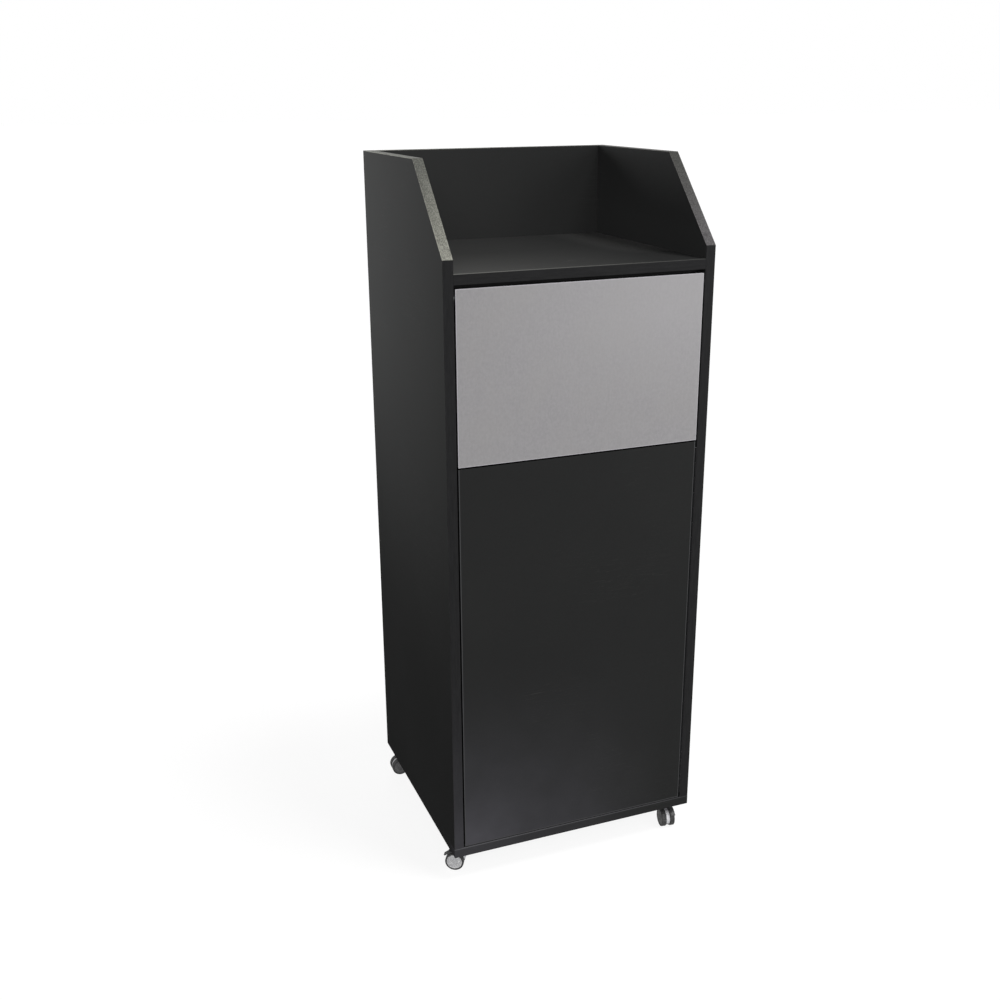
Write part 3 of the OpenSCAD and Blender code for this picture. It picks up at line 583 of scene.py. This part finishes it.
def addRod(name, radius, start, end, sides=32):
    clearSelection()
    along = Vector(end) - Vector(start)
    bpy.ops.mesh.primitive_cylinder_add(vertices=sides, radius=radius, depth=along.length)
    piece = bpy.context.object
    piece.name = name
    piece.rotation_mode = "QUATERNION"
    piece.rotation_quaternion = along.to_track_quat("Z", "Y")
    piece.location = (Vector(start) + Vector(end)) / 2
    return settle(piece)


def drawLine(name, points):  # one vertex, extruded from point to point
    clearSelection()
    bpy.ops.mesh.primitive_plane_add(size=mm)
    piece = bpy.context.object
    piece.name = name
    bpy.ops.object.mode_set(mode="EDIT")
    bpy.ops.mesh.select_mode(type="VERT")
    bpy.ops.mesh.merge(type="CENTER")
    bpy.ops.transform.translate(value=Vector(points[0]))
    for here, there in zip(points, points[1:]):
        bpy.ops.mesh.extrude_region_move(TRANSFORM_OT_translate={"value": Vector(there) - Vector(here)})
    bpy.ops.mesh.select_all(action="SELECT")
    return piece


def closeMesh():
    bpy.ops.mesh.select_all(action="SELECT")
    bpy.ops.mesh.remove_doubles(threshold=0.002 * mm)
    bpy.ops.mesh.normals_make_consistent(inside=False)
    bpy.ops.object.mode_set(mode="OBJECT")


def turnPiece(name, outline, steps=48):  # a section (radius, height) spun about Z
    piece = drawLine(name, [(radius, 0, height) for radius, height in outline])
    bpy.ops.mesh.spin(steps=steps, angle=math.tau, center=(0, 0, 0), axis=(0, 0, 1))
    closeMesh()
    return piece


def cutPiece(name, outline, width):  # a closed outline (x, z) extruded along Y, with its middle at y = 0
    piece = drawLine(name, [(x, -width / 2, z) for x, z in [*outline, outline[0]]])
    bpy.ops.mesh.remove_doubles(threshold=0.002 * mm)
    bpy.ops.mesh.edge_face_add()
    bpy.ops.mesh.extrude_region_move(TRANSFORM_OT_translate={"value": (0, width, 0)})
    closeMesh()
    return piece


def arcPoints(centre, radius, start, end, steps):
    angles = [math.radians(start + (end - start) * step / steps) for step in range(steps + 1)]
    return [(centre[0] + radius * math.cos(a), centre[1] + radius * math.sin(a)) for a in angles]


def pick(piece, kind, wanted):  # goes into edit mode with only the wanted parts selected
    takeUp(piece)
    bpy.ops.object.mode_set(mode="EDIT")
    bpy.ops.mesh.select_mode(type=kind)
    bpy.ops.mesh.select_all(action="DESELECT")
    cage = bmesh.from_edit_mesh(piece.data)
    for part in {"VERT": cage.verts, "EDGE": cage.edges, "FACE": cage.faces}[kind]:
        if wanted(part):
            part.select_set(True)
    cage.select_flush_mode()
    bmesh.update_edit_mesh(piece.data)


def applyModifier(piece, kind, **settings):
    takeUp(piece)
    modifier = piece.modifiers.new(kind.title(), kind)
    for name, value in settings.items():
        setattr(modifier, name, value)
    bpy.ops.object.modifier_apply(modifier=modifier.name)


def carve(piece, cutter, operation="DIFFERENCE"):
    applyModifier(piece, "BOOLEAN", operation=operation, object=cutter, solver="EXACT")
    bpy.data.objects.remove(cutter)


def roundEdges(piece, width, segments=2, angle=35):
    applyModifier(
        piece, "BEVEL", width=width, segments=segments, limit_method="ANGLE", angle_limit=math.radians(angle)
    )
    smoothPiece(piece, angle)


def smoothPiece(piece, angle=35):
    takeUp(piece)
    bpy.ops.object.shade_smooth_by_angle(angle=math.radians(angle))


def copyPiece(piece, name, place):
    copy = piece.copy()
    copy.data = piece.data.copy()
    bpy.context.scene.collection.objects.link(copy)
    copy.name = name
    copy.matrix_world = place
    return settle(copy)


def joinPieces(name, pieces):
    clearSelection()
    for piece in pieces:
        piece.select_set(True)
    bpy.context.view_layer.objects.active = pieces[0]
    bpy.ops.object.join()
    pieces[0].name = name
    return pieces[0]


def joinWords(nodeName):
    words = nodeName.split("_")
    return words[0] + "".join(word.title() for word in words[1:])


def crossSlot(arm, half, above, deep):  # the cutter for a cross recess in a face at z = 0
    slot = addBox("slot", (-arm, -half, -above), (arm, half, deep))
    carve(slot, addBox("otherSlot", (-half, -arm, -above), (half, arm, deep)), "UNION")
    return slot


def dress(piece, body, slot, *replaced):
    piece.data.materials.clear()
    piece.data.materials.append(finishes[slot])
    if replaced:
        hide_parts(*replaced)
    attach(piece, body)
    return piece


def cornersOf(points):
    low = Vector(min(point[i] for point in points) for i in range(3))
    high = Vector(max(point[i] for point in points) for i in range(3))
    return low, high


def facing(direction):  # a turn that lays +Z along a direction
    return direction.to_track_quat("Z", "Y").to_matrix().to_4x4()


def solidsOf(nodeName):  # the points of each separate solid in a CAD node, read from a merged copy
    cage = bmesh.new()
    cage.from_mesh(nodes[nodeName].data)
    bmesh.ops.remove_doubles(cage, verts=cage.verts, dist=0.01 * mm)
    seen = set()
    solids = []
    for first in cage.verts:
        edge = [] if first in seen else [first]
        seen.update(edge)
        solid = []
        while edge:
            vertex = edge.pop()
            solid.append(vertex.co.copy())
            near = [link.other_vert(vertex) for link in vertex.link_edges]
            near = [other for other in near if other not in seen]
            seen.update(near)
            edge.extend(near)
        if solid:
            solids.append(solid)
    cage.free()
    return sorted(solids, key=lambda solid: [round(min(point[i] for point in solid), 4) for i in range(3)])


def axisOf(solid):  # where a screw's head is, which way it points, and its length, head and shank radius
    low, high = cornersOf(solid)
    size = high - low
    along = max(range(3), key=lambda i: size[i])
    middle = (low + high) / 2
    ends = []
    for end in (low[along], high[along]):
        reach = [point - middle for point in solid if abs(point[along] - end) < 0.02 * mm]
        ends.append(max(math.hypot(*(offset[i] for i in range(3) if i != along)) for offset in reach))
    headLow = ends[0] > ends[1]
    head = middle.copy()
    head[along] = low[along] if headLow else high[along]
    points = Vector([0, 0, 0])
    points[along] = 1 if headLow else -1
    return {
        "head": head, "points": points, "length": size[along],
        "headRadius": max(ends), "shankRadius": min(ends),
    }


# Screws: each CAD screw gets a modelled one with a cross recess
crossRecess = {"arm": 0.62, "half": 0.13, "deep": 0.62, "turn": 37}  # shares of a radius, and degrees


def modelScrew(name, spot, panHead):
    head = spot["headRadius"]
    shank = spot["shankRadius"]
    length = spot["length"]
    if panHead:
        outline = [(0, 0), (0.5 * head, 0.02 * shank), (0.8 * head, 0.16 * shank)]
        outline += [(0.96 * head, 0.45 * shank), (head, 0.75 * shank), (head, shank), (shank, shank)]
    else:
        outline = [(0, 0), (0.93 * head, 0), (head, 0.12 * shank), (shank, shank)]
    outline += [(shank, length - 1.4 * shank), (0.25 * shank, length - 0.1 * shank), (0, length)]
    screw = turnPiece(name, outline, 24)
    arm, half = crossRecess["arm"] * head, crossRecess["half"] * head
    carve(screw, crossSlot(arm, half, head, crossRecess["deep"] * shank))
    smoothPiece(screw, 30)
    return screw


screwNodes = {
    "cabinet_fitting_screws": ("cabinet", False), "door_fitting_screws": ("door", False),
    "batten_screws": ("cabinet", False), "long_screws": ("cabinet", False),
    "caster_screws": ("cabinet", True),
}
for nodeName, (body, panHead) in screwNodes.items():
    spots = [axisOf(solid) for solid in solidsOf(nodeName)]
    model = modelScrew("screwModel", spots[0], panHead)
    copies = []
    for count, spot in enumerate(spots):
        spin = Matrix.Rotation(math.radians(crossRecess["turn"] * count), 4, "Z")  # no two stand alike
        place = Matrix.Translation(spot["head"]) @ facing(spot["points"]) @ spin
        copies.append(copyPiece(model, "screw", place))
    bpy.data.objects.remove(model)
    dress(joinPieces(joinWords(nodeName), copies), body, "zinc_steel", nodeName)
print("screws modelled")


# Cam locks: a die-cast disc with a raised rim and a cross recess
camLook = {
    "rim": 1.1 * mm, "sink": 0.5 * mm, "soft": 0.3 * mm, "arm": 4.2 * mm, "half": 0.7 * mm, "deep": 3.2 * mm,
}


def modelCam(radius, depth):
    sink, soft = camLook["sink"], camLook["soft"]
    inner = radius - camLook["rim"]
    outline = [(0, sink), (inner - sink, sink), (inner, 0), (radius - soft, 0), (radius, soft)]
    outline += [(radius, depth - soft), (radius - soft, depth), (0, depth)]
    cam = turnPiece("camModel", outline, 40)
    carve(cam, crossSlot(camLook["arm"], camLook["half"], mm, camLook["deep"]))
    smoothPiece(cam, 30)
    return cam


def discOf(solid):  # a disc's middle, radius and depth, and the way from its open face into the board
    low, high = cornersOf(solid)
    size = high - low
    along = min(range(3), key=lambda i: size[i])
    face = (low + high) / 2
    face[along] = low[along]
    inward = Vector([0, 0, 0])
    inward[along] = 1
    return face, inward, max(size) / 2, size[along]


cams = []
for solid in solidsOf("cam_locks"):
    face, inward, radius, depth = discOf(solid)
    camModel = modelCam(radius, depth)
    cams.append(copyPiece(camModel, "cam", Matrix.Translation(face) @ facing(inward)))
    bpy.data.objects.remove(camModel)
dress(joinPieces("camLocks", cams), "cabinet", "cam_zinc", "cam_locks")
print("cam locks modelled")


# Rubber bumpers: low domes on the stop rail
bumpers = []
for solid in solidsOf("flap_bumpers"):
    low, high = cornersOf(solid)
    radius = (high.x - low.x) / 2
    tall = high.y - low.y
    outline = [(0, 0), (radius, 0), (radius, 0.35 * tall), (0.93 * radius, 0.62 * tall)]
    outline += [(0.75 * radius, 0.85 * tall), (0.42 * radius, 0.97 * tall), (0, tall)]
    dome = turnPiece("dome", outline, 32)
    smoothPiece(dome, 50)
    root = Vector(((low.x + high.x) / 2, high.y, (low.z + high.z) / 2))
    bumpers.append(copyPiece(dome, "bumper", Matrix.Translation(root) @ Matrix.Rotation(math.pi / 2, 4, "X")))
    bpy.data.objects.remove(dome)
dress(joinPieces("flapBumpers", bumpers), "cabinet", "bumper_rubber", "flap_bumpers")
print("bumpers modelled")


# Casters, modelled once with the swivel axis on Z, the bottom board's underside at 0 and the trail along +X
caster = {
    "pairWidth": 28 * mm, "web": 7 * mm, "wheelGap": 0.4 * mm, "tyreDepth": 3.2 * mm, "running": 0.05 * mm,
    "axle": 4 * mm, "kingpin": 6 * mm, "kingpinReach": 16.4 * mm, "boss": 4 * mm, "bossTop": -2.3 * mm,
    "bossBottom": -19 * mm, "webInset": 2 * mm, "cap": 2 * mm,
}
stem = Vector(joints["front_left_swivel"]["pos_m"])
axle = Vector(joints["front_left_spin_a"]["pos_m"])
trail = (axle - stem).to_2d().length
axleZ = axle.z - stem.z
wheelRadius = axle.z
wheelIn = caster["web"] / 2 + caster["wheelGap"]
wheelWidth = caster["pairWidth"] / 2 - wheelIn
hubRadius = wheelRadius - caster["tyreDepth"]


def modelWheel():  # a dished disc with a raised ring and a centre cap, its outer face up
    bore = caster["axle"] / 2 + caster["running"]
    top = wheelWidth
    outline = [(0, top), (3.6 * mm, top - 0.15 * mm), (4.1 * mm, top - 0.55 * mm), (4.6 * mm, top - 1.1 * mm)]
    outline += [(6.2 * mm, top - 1.0 * mm), (6.7 * mm, top - 0.45 * mm)]
    outline += [(hubRadius - 4.6 * mm, top - 0.5 * mm), (hubRadius - 2.4 * mm, top - 0.65 * mm)]
    outline += [(hubRadius - 1.9 * mm, top - 0.1 * mm), (hubRadius - 1.5 * mm, top)]
    outline += [(hubRadius - 0.7 * mm, top - 0.2 * mm), (hubRadius, top - 1.0 * mm), (hubRadius, 0)]
    outline += [(bore, 0), (bore, top - caster["cap"]), (0, top - caster["cap"])]
    wheel = turnPiece("wheelModel", outline, 72)
    smoothPiece(wheel, 32)
    return wheel


def modelTyre():  # a ring with round shoulders and two thin grooves round its tread
    shoulder = 1.6 * mm
    groove = 0.35 * mm
    outer = wheelRadius
    lowArc = arcPoints((outer - shoulder, shoulder), shoulder, -90, 0, 5)
    highArc = arcPoints((outer - shoulder, wheelWidth - shoulder), shoulder, 0, 90, 5)
    outline = [(hubRadius, 0), *lowArc]
    for middle in (0.37 * wheelWidth, 0.63 * wheelWidth):
        outline += [(outer, middle - groove), (outer - groove, middle - 0.4 * groove)]
        outline += [(outer - groove, middle + 0.4 * groove), (outer, middle + groove)]
    outline += [*highArc, (hubRadius, wheelWidth), (hubRadius, 0)]
    tyre = turnPiece("tyreModel", outline, 72)
    smoothPiece(tyre, 32)
    return tyre


leverArc = {  # angles in degrees about the axle, from the trail's direction
    "pinAngle": 112, "pin": 2.5 * mm, "eye": 2.5 * mm, "thick": 2.4 * mm, "gap": 0.4 * mm, "end": 32,
    "toe": 3.5 * mm, "toeTilt": 20, "width": 9.5 * mm, "travel": 8, "side": 0.3 * mm, "ear": 4 * mm,
    "head": 1.2 * mm, "ribs": 5, "rib": 0.35 * mm,
}
leverRadius = wheelRadius + leverArc["gap"]
pinRadius = leverRadius + leverArc["thick"]
pinX = trail + pinRadius * math.cos(math.radians(leverArc["pinAngle"]))
pinZ = axleZ + pinRadius * math.sin(math.radians(leverArc["pinAngle"]))


def modelHood(braked):  # the web between the wheels, blended into the boss round the kingpin
    boss = caster["kingpin"] / 2 + caster["boss"]
    webRadius = wheelRadius - caster["webInset"]
    middle = (caster["bossTop"] + caster["bossBottom"]) / 2
    outline = [(-boss, middle), (-boss, caster["bossBottom"] - 4 * mm)]
    outline += arcPoints((trail, axleZ), webRadius, 186, 455, 40)
    outline += arcPoints((pinX, pinZ), leverArc["eye"], 60, 130, 5)
    outline += [(boss, middle)]
    hood = cutPiece("hoodModel", outline, caster["web"])
    carve(hood, addRod("boss", boss, (0, 0, caster["bossBottom"]), (0, 0, caster["bossTop"]), 48), "UNION")
    roundEdges(hood, 0.8 * mm, 3, 30)
    reach = caster["kingpinReach"]
    carve(hood, addRod("bore", caster["kingpin"] / 2 + caster["running"], (0, 0, -reach), (0, 0, mm), 32))
    carve(hood, addRod("bore", caster["axle"] / 2, (trail, -boss, axleZ), (trail, boss, axleZ), 32))
    if braked:
        hole = leverArc["pin"] / 2 + caster["running"]
        carve(hood, addRod("bore", hole, (pinX, -boss, pinZ), (pinX, boss, pinZ), 24))
    smoothPiece(hood, 32)
    return hood


def modelLever():  # a short arc over tyre a with grip ribs and a toe, raised about its pin
    start, end, tilt = leverArc["end"], leverArc["pinAngle"] - 14, leverArc["toeTilt"]
    thick = leverArc["thick"]
    earIn = caster["web"] / 2 + leverArc["side"]
    middle = earIn + leverArc["width"] / 2
    root = Vector(arcPoints((trail, axleZ), leverRadius, start, end, 1)[0])
    along = Vector((math.cos(math.radians(tilt)), -math.sin(math.radians(tilt))))
    across = Vector((-along.y, along.x))
    tip = root + along * (leverArc["toe"] - thick / 2) + across * thick / 2
    outline = arcPoints((trail, axleZ), leverRadius, start, end, 14)
    outline += arcPoints((trail, axleZ), leverRadius + thick, end, start + 5, 14)
    outline += [tuple(root + across * thick + along * 0.9 * mm)]
    outline += arcPoints(tip, thick / 2, 90 - tilt, -90 - tilt, 8)
    pedal = cutPiece("leverModel", outline, leverArc["width"])
    roundEdges(pedal, 0.35 * mm, 2, 40)
    pedal.location = (0, middle, 0)
    settle(pedal)
    parts = []
    side = Vector((0, 0.36 * leverArc["width"], 0))
    for x, z in arcPoints((trail, axleZ), leverRadius + thick, start + 7, start + 31, leverArc["ribs"] - 1):
        spot = Vector((x, middle, z))
        parts.append(addRod("rib", leverArc["rib"], spot - side, spot + side, 10))
    ear = arcPoints((pinX, pinZ), leverArc["eye"], 90, 330, 14)
    ear += [(pinX + 5 * mm, pinZ - 0.9 * mm), (pinX + 5 * mm, pinZ + 1.6 * mm)]
    plate = cutPiece("ear", ear, leverArc["ear"])
    plate.location = (0, earIn + leverArc["ear"] / 2, 0)
    parts.append(settle(plate))
    farEnd = (pinX, -earIn - leverArc["head"], pinZ)
    parts.append(addRod("pin", leverArc["pin"] / 2, farEnd, (pinX, earIn + leverArc["ear"], pinZ), 24))
    parts.append(addRod("pinHead", leverArc["eye"], farEnd, (pinX, -earIn, pinZ), 32))
    for part in parts:
        carve(pedal, part, "UNION")
    smoothPiece(pedal, 32)
    pivot = Matrix.Translation((pinX, 0, pinZ))
    pedal.matrix_world = pivot @ Matrix.Rotation(-math.radians(leverArc["travel"]), 4, "Y") @ pivot.inverted()
    return settle(pedal)


models = {"wheel": modelWheel(), "tyre": modelTyre(), "hood": modelHood(False), "brakedHood": modelHood(True)}
models["lever"] = modelLever()
axleSide = Matrix.Translation((trail, wheelIn, axleZ)) @ Matrix.Rotation(-math.pi / 2, 4, "X")
otherSide = Matrix.Translation((2 * trail, 0, 0)) @ Matrix.Rotation(math.pi, 4, "Z")
wheelSides = {"a": axleSide, "b": otherSide @ axleSide}
for corner in ("front_left", "front_right", "rear_left", "rear_right"):
    stem = Vector(joints[corner + "_swivel"]["pos_m"])
    toAxle = Vector(joints[corner + "_spin_a"]["pos_m"]) - stem
    home = Matrix.Translation(stem) @ Matrix.Rotation(math.atan2(toAxle.y, toAxle.x), 4, "Z")
    label = joinWords(corner)
    braked = corner + "_lever" in nodes
    hood = copyPiece(models["brakedHood" if braked else "hood"], label + "Hood", home)
    dress(hood, corner + "_fork", "caster_hood", corner + "_hood")
    for side, place in wheelSides.items():
        wheel = copyPiece(models["wheel"], label + "Wheel" + side.upper(), home @ place)
        dress(wheel, corner + "_roller_" + side, "wheel_plastic", corner + "_wheel_" + side)
        # the discs in shade get the painted shade copy
        if corner != "front_left":
            wheel.data.materials[0] = shadedDisc
        tyre = copyPiece(models["tyre"], label + "Tyre" + side.upper(), home @ place)
        dress(tyre, corner + "_roller_" + side, "tyre_rubber", corner + "_tyre_" + side)
    if braked:
        lever = copyPiece(models["lever"], label + "Lever", home)
        dress(lever, corner + "_brake", "lever_plastic", corner + "_lever")
for model in models.values():
    bpy.data.objects.remove(model)
print("casters modelled")


# Bin: a tapered moulding with panelled walls and a turned-down rim
binLook = {
    "rim": 10 * mm, "rimDrop": 14 * mm, "lean": 20 * mm, "corner": 38 * mm, "foot": 9 * mm, "wall": 2.6 * mm,
    "panel": 26 * mm, "panelEdge": 5 * mm, "panelSink": 3 * mm, "soft": 0.9 * mm,
}
binLow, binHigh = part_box("bin")
binMiddle = (binLow + binHigh) / 2
topHalf = Vector((binHigh.x - binMiddle.x - binLook["rim"], binHigh.y - binMiddle.y - binLook["rim"], 0))
footHalf = topHalf - Vector((binLook["lean"], binLook["lean"], 0))
liner = addBox(
    "binLiner",
    (binMiddle.x - footHalf.x, binMiddle.y - footHalf.y, binLow.z),
    (binMiddle.x + footHalf.x, binMiddle.y + footHalf.y, binHigh.z),
)
mouth = (binMiddle.x, binMiddle.y, binHigh.z)
pick(liner, "VERT", lambda vertex: vertex.co.z > binMiddle.z)
bpy.ops.transform.resize(value=(topHalf.x / footHalf.x, topHalf.y / footHalf.y, 1), center_override=mouth)
pick(liner, "EDGE", lambda edge: abs(edge.verts[0].co.z - edge.verts[1].co.z) > 0.1)
bpy.ops.mesh.bevel(offset=binLook["corner"], segments=8, affect="EDGES")
pick(liner, "EDGE", lambda edge: max(vertex.co.z for vertex in edge.verts) < binLow.z + mm)
bpy.ops.mesh.bevel(offset=binLook["foot"], segments=4, affect="EDGES")
pick(liner, "FACE", lambda face: face.normal.z > 0.9)
bpy.ops.mesh.delete(type="ONLY_FACE")
pick(liner, "FACE", lambda face: abs(face.normal.z) < 0.3 and face.calc_area() > 0.05)
bpy.ops.mesh.inset(thickness=binLook["panel"], depth=0, use_individual=True)
bpy.ops.mesh.inset(thickness=binLook["panelEdge"], depth=-binLook["panelSink"], use_individual=True)
pick(liner, "EDGE", lambda edge: edge.is_boundary)
bpy.ops.mesh.extrude_region_move(TRANSFORM_OT_translate={"value": (0, 0, 0)})
rimGrow = [(half + binLook["rim"]) / half for half in topHalf.to_2d()]
bpy.ops.transform.resize(value=(*rimGrow, 1), center_override=mouth)
bpy.ops.mesh.extrude_region_move(TRANSFORM_OT_translate={"value": (0, 0, -binLook["rimDrop"])})
closeMesh()
applyModifier(liner, "SOLIDIFY", thickness=binLook["wall"], offset=-1, use_even_offset=True)
roundEdges(liner, binLook["soft"], 2, 50)
dress(liner, "cabinet", "bin_plastic", "bin")
print("bin modelled")


# Magnetic catch: a housing with two steel pole plates, on a flange with counterbored screw holes
catchLook = {
    "flange": 3 * mm, "flangeDepth": 13 * mm, "ear": 13 * mm, "sink": 0.6 * mm,
    "poleThick": 1.6 * mm, "poleInset": 3 * mm, "poleStep": 6 * mm, "poleDepth": 6 * mm, "poleShort": 3 * mm,
}
catchLow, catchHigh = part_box("door_catch")
housing = addBox(
    "magnetCatch",
    (catchLow.x, catchLow.y + catchLook["sink"], catchLow.z + catchLook["ear"]),
    (catchHigh.x, catchHigh.y, catchHigh.z - catchLook["ear"]),
)
flangeEnd = (catchLow.x + catchLook["flange"], catchLow.y + catchLook["flangeDepth"], catchHigh.z)
flange = addBox("flange", catchLow, flangeEnd)
roundEdges(housing, 1.2 * mm, 3)
roundEdges(flange, 0.5 * mm, 2)
carve(housing, flange, "UNION")
for spot in [axisOf(solid) for solid in solidsOf("cabinet_fitting_screws")]:
    if spot["head"].x < 0:
        headEnd = spot["head"] - spot["points"] * mm
        for radius, deep in ((spot["headRadius"] + 0.3 * mm, 2.1), (spot["shankRadius"], 6)):
            carve(housing, addRod("hole", radius, headEnd, headEnd + spot["points"] * deep * mm, 32))
smoothPiece(housing, 32)
dress(housing, "cabinet", "catch_plastic", "door_catch")
for count in (0, 1):
    poleX = catchHigh.x - catchLook["poleInset"] - count * catchLook["poleStep"]
    fromEnd = catchLook["ear"] + catchLook["poleShort"]
    pole = addBox(
        "catchPole" + "AB"[count],
        (poleX - catchLook["poleThick"], catchLow.y, catchLow.z + fromEnd),
        (poleX, catchLow.y + catchLook["poleDepth"], catchHigh.z - fromEnd),
    )
    roundEdges(pole, 0.2 * mm, 2)
    dress(pole, "cabinet", "zinc_steel")
print("catch modelled")


# Pale floor, soft light and a white surround
studio = {
    "floorSize": 120, "floorTone": 0.15, "shadowTone": 0.13, "floorLift": 0.885, "ambient": 0.12,
    "overhead": {"from": (0.29, -0.24, 0.925), "strength": 1.85, "softness": 19},
    "leftFill": {"from": (-0.8, -0.38, 0.48), "strength": 0.3, "softness": 40},
    "frontLeft": {"from": (-0.3, -1, 0.4), "strength": 1.68, "softness": 45},
    "front": {"place": (1.25, -1.75, 1.75), "aim": (0, -0.2375, 1.1), "size": 1.1, "power": 22},
    "leftSpot": {
        "place": (-1.3, 0.75, 1.37), "aim": (-0.26, 0.22, 1.3), "size": 0.25, "power": 152, "cone": 76,
    },
    "behind": {"place": (0.3, 1.7, 0.6), "aim": (0, 0.2375, 0.5), "size": 0.9, "power": 9},
}


def addLamp(name, kind, place, aim, **settings):
    lamp = bpy.data.objects.new(name, bpy.data.lights.new(name, kind))
    bpy.context.scene.collection.objects.link(lamp)
    for setting, value in settings.items():
        setattr(lamp.data, setting, value)
    lamp.location = place
    lamp.rotation_mode = "QUATERNION"
    lamp.rotation_quaternion = (Vector(place) - Vector(aim)).to_track_quat("Z", "Y")


for name in ("overhead", "leftFill", "frontLeft"):
    sun = studio[name]
    spread = math.radians(sun["softness"])
    addLamp(name + "Sun", "SUN", sun["from"], (0, 0, 0), energy=sun["strength"], angle=spread)
for name in ("front", "behind"):
    box = studio[name]
    addLamp(name + "Softbox", "AREA", box["place"], box["aim"], size=box["size"], energy=box["power"])
spot = studio["leftSpot"]
addLamp(
    "leftSpot", "SPOT", spot["place"], spot["aim"], energy=spot["power"], shadow_soft_size=spot["size"],
    spot_size=math.radians(spot["cone"]), spot_blend=1,
)


def addSeenRays(tree):  # 1 where the camera sees the surround, also by way of metal and glass
    rays = addNode(tree, "LightPath").outputs
    seen = addMath(tree, "MAXIMUM", rays["Is Camera Ray"], rays["Is Glossy Ray"])
    return addMath(tree, "MAXIMUM", seen, rays["Is Transmission Ray"])


clearSelection()
bpy.ops.mesh.primitive_plane_add(size=studio["floorSize"])
floor = bpy.context.object
floor.name = "studioFloor"
floorMaterial, tree, vector, floorShader = startMaterial("paleFloor", 0.9, specular=0.1)
seen = addSeenRays(tree)
wire(tree, addRange(tree, seen, 0, 1, studio["floorTone"], studio["shadowTone"]), floorShader["Base Color"])
floorShader["Emission Color"].default_value = (1, 1, 1, 1)
wire(tree, addMath(tree, "MULTIPLY", seen, studio["floorLift"]), floorShader["Emission Strength"])
floor.data.materials.append(floorMaterial)

world = bpy.data.worlds.new("studioWorld")
bpy.context.scene.world = world
world.use_nodes = True
tree = world.node_tree
choose = addNode(tree, "MixShader")
wire(tree, addSeenRays(tree), choose.inputs[0])
backdrops = ((tree.nodes["Background"], studio["ambient"]), (addNode(tree, "Background"), 1))
for count, (backdrop, strength) in enumerate(backdrops):  # what lights the object, then what the camera sees
    backdrop.inputs["Color"].default_value = (1, 1, 1, 1)
    backdrop.inputs["Strength"].default_value = strength
    wire(tree, backdrop.outputs[0], choose.inputs[1 + count])
wire(tree, choose.outputs[0], tree.nodes["World Output"].inputs["Surface"])
print("studio lit")
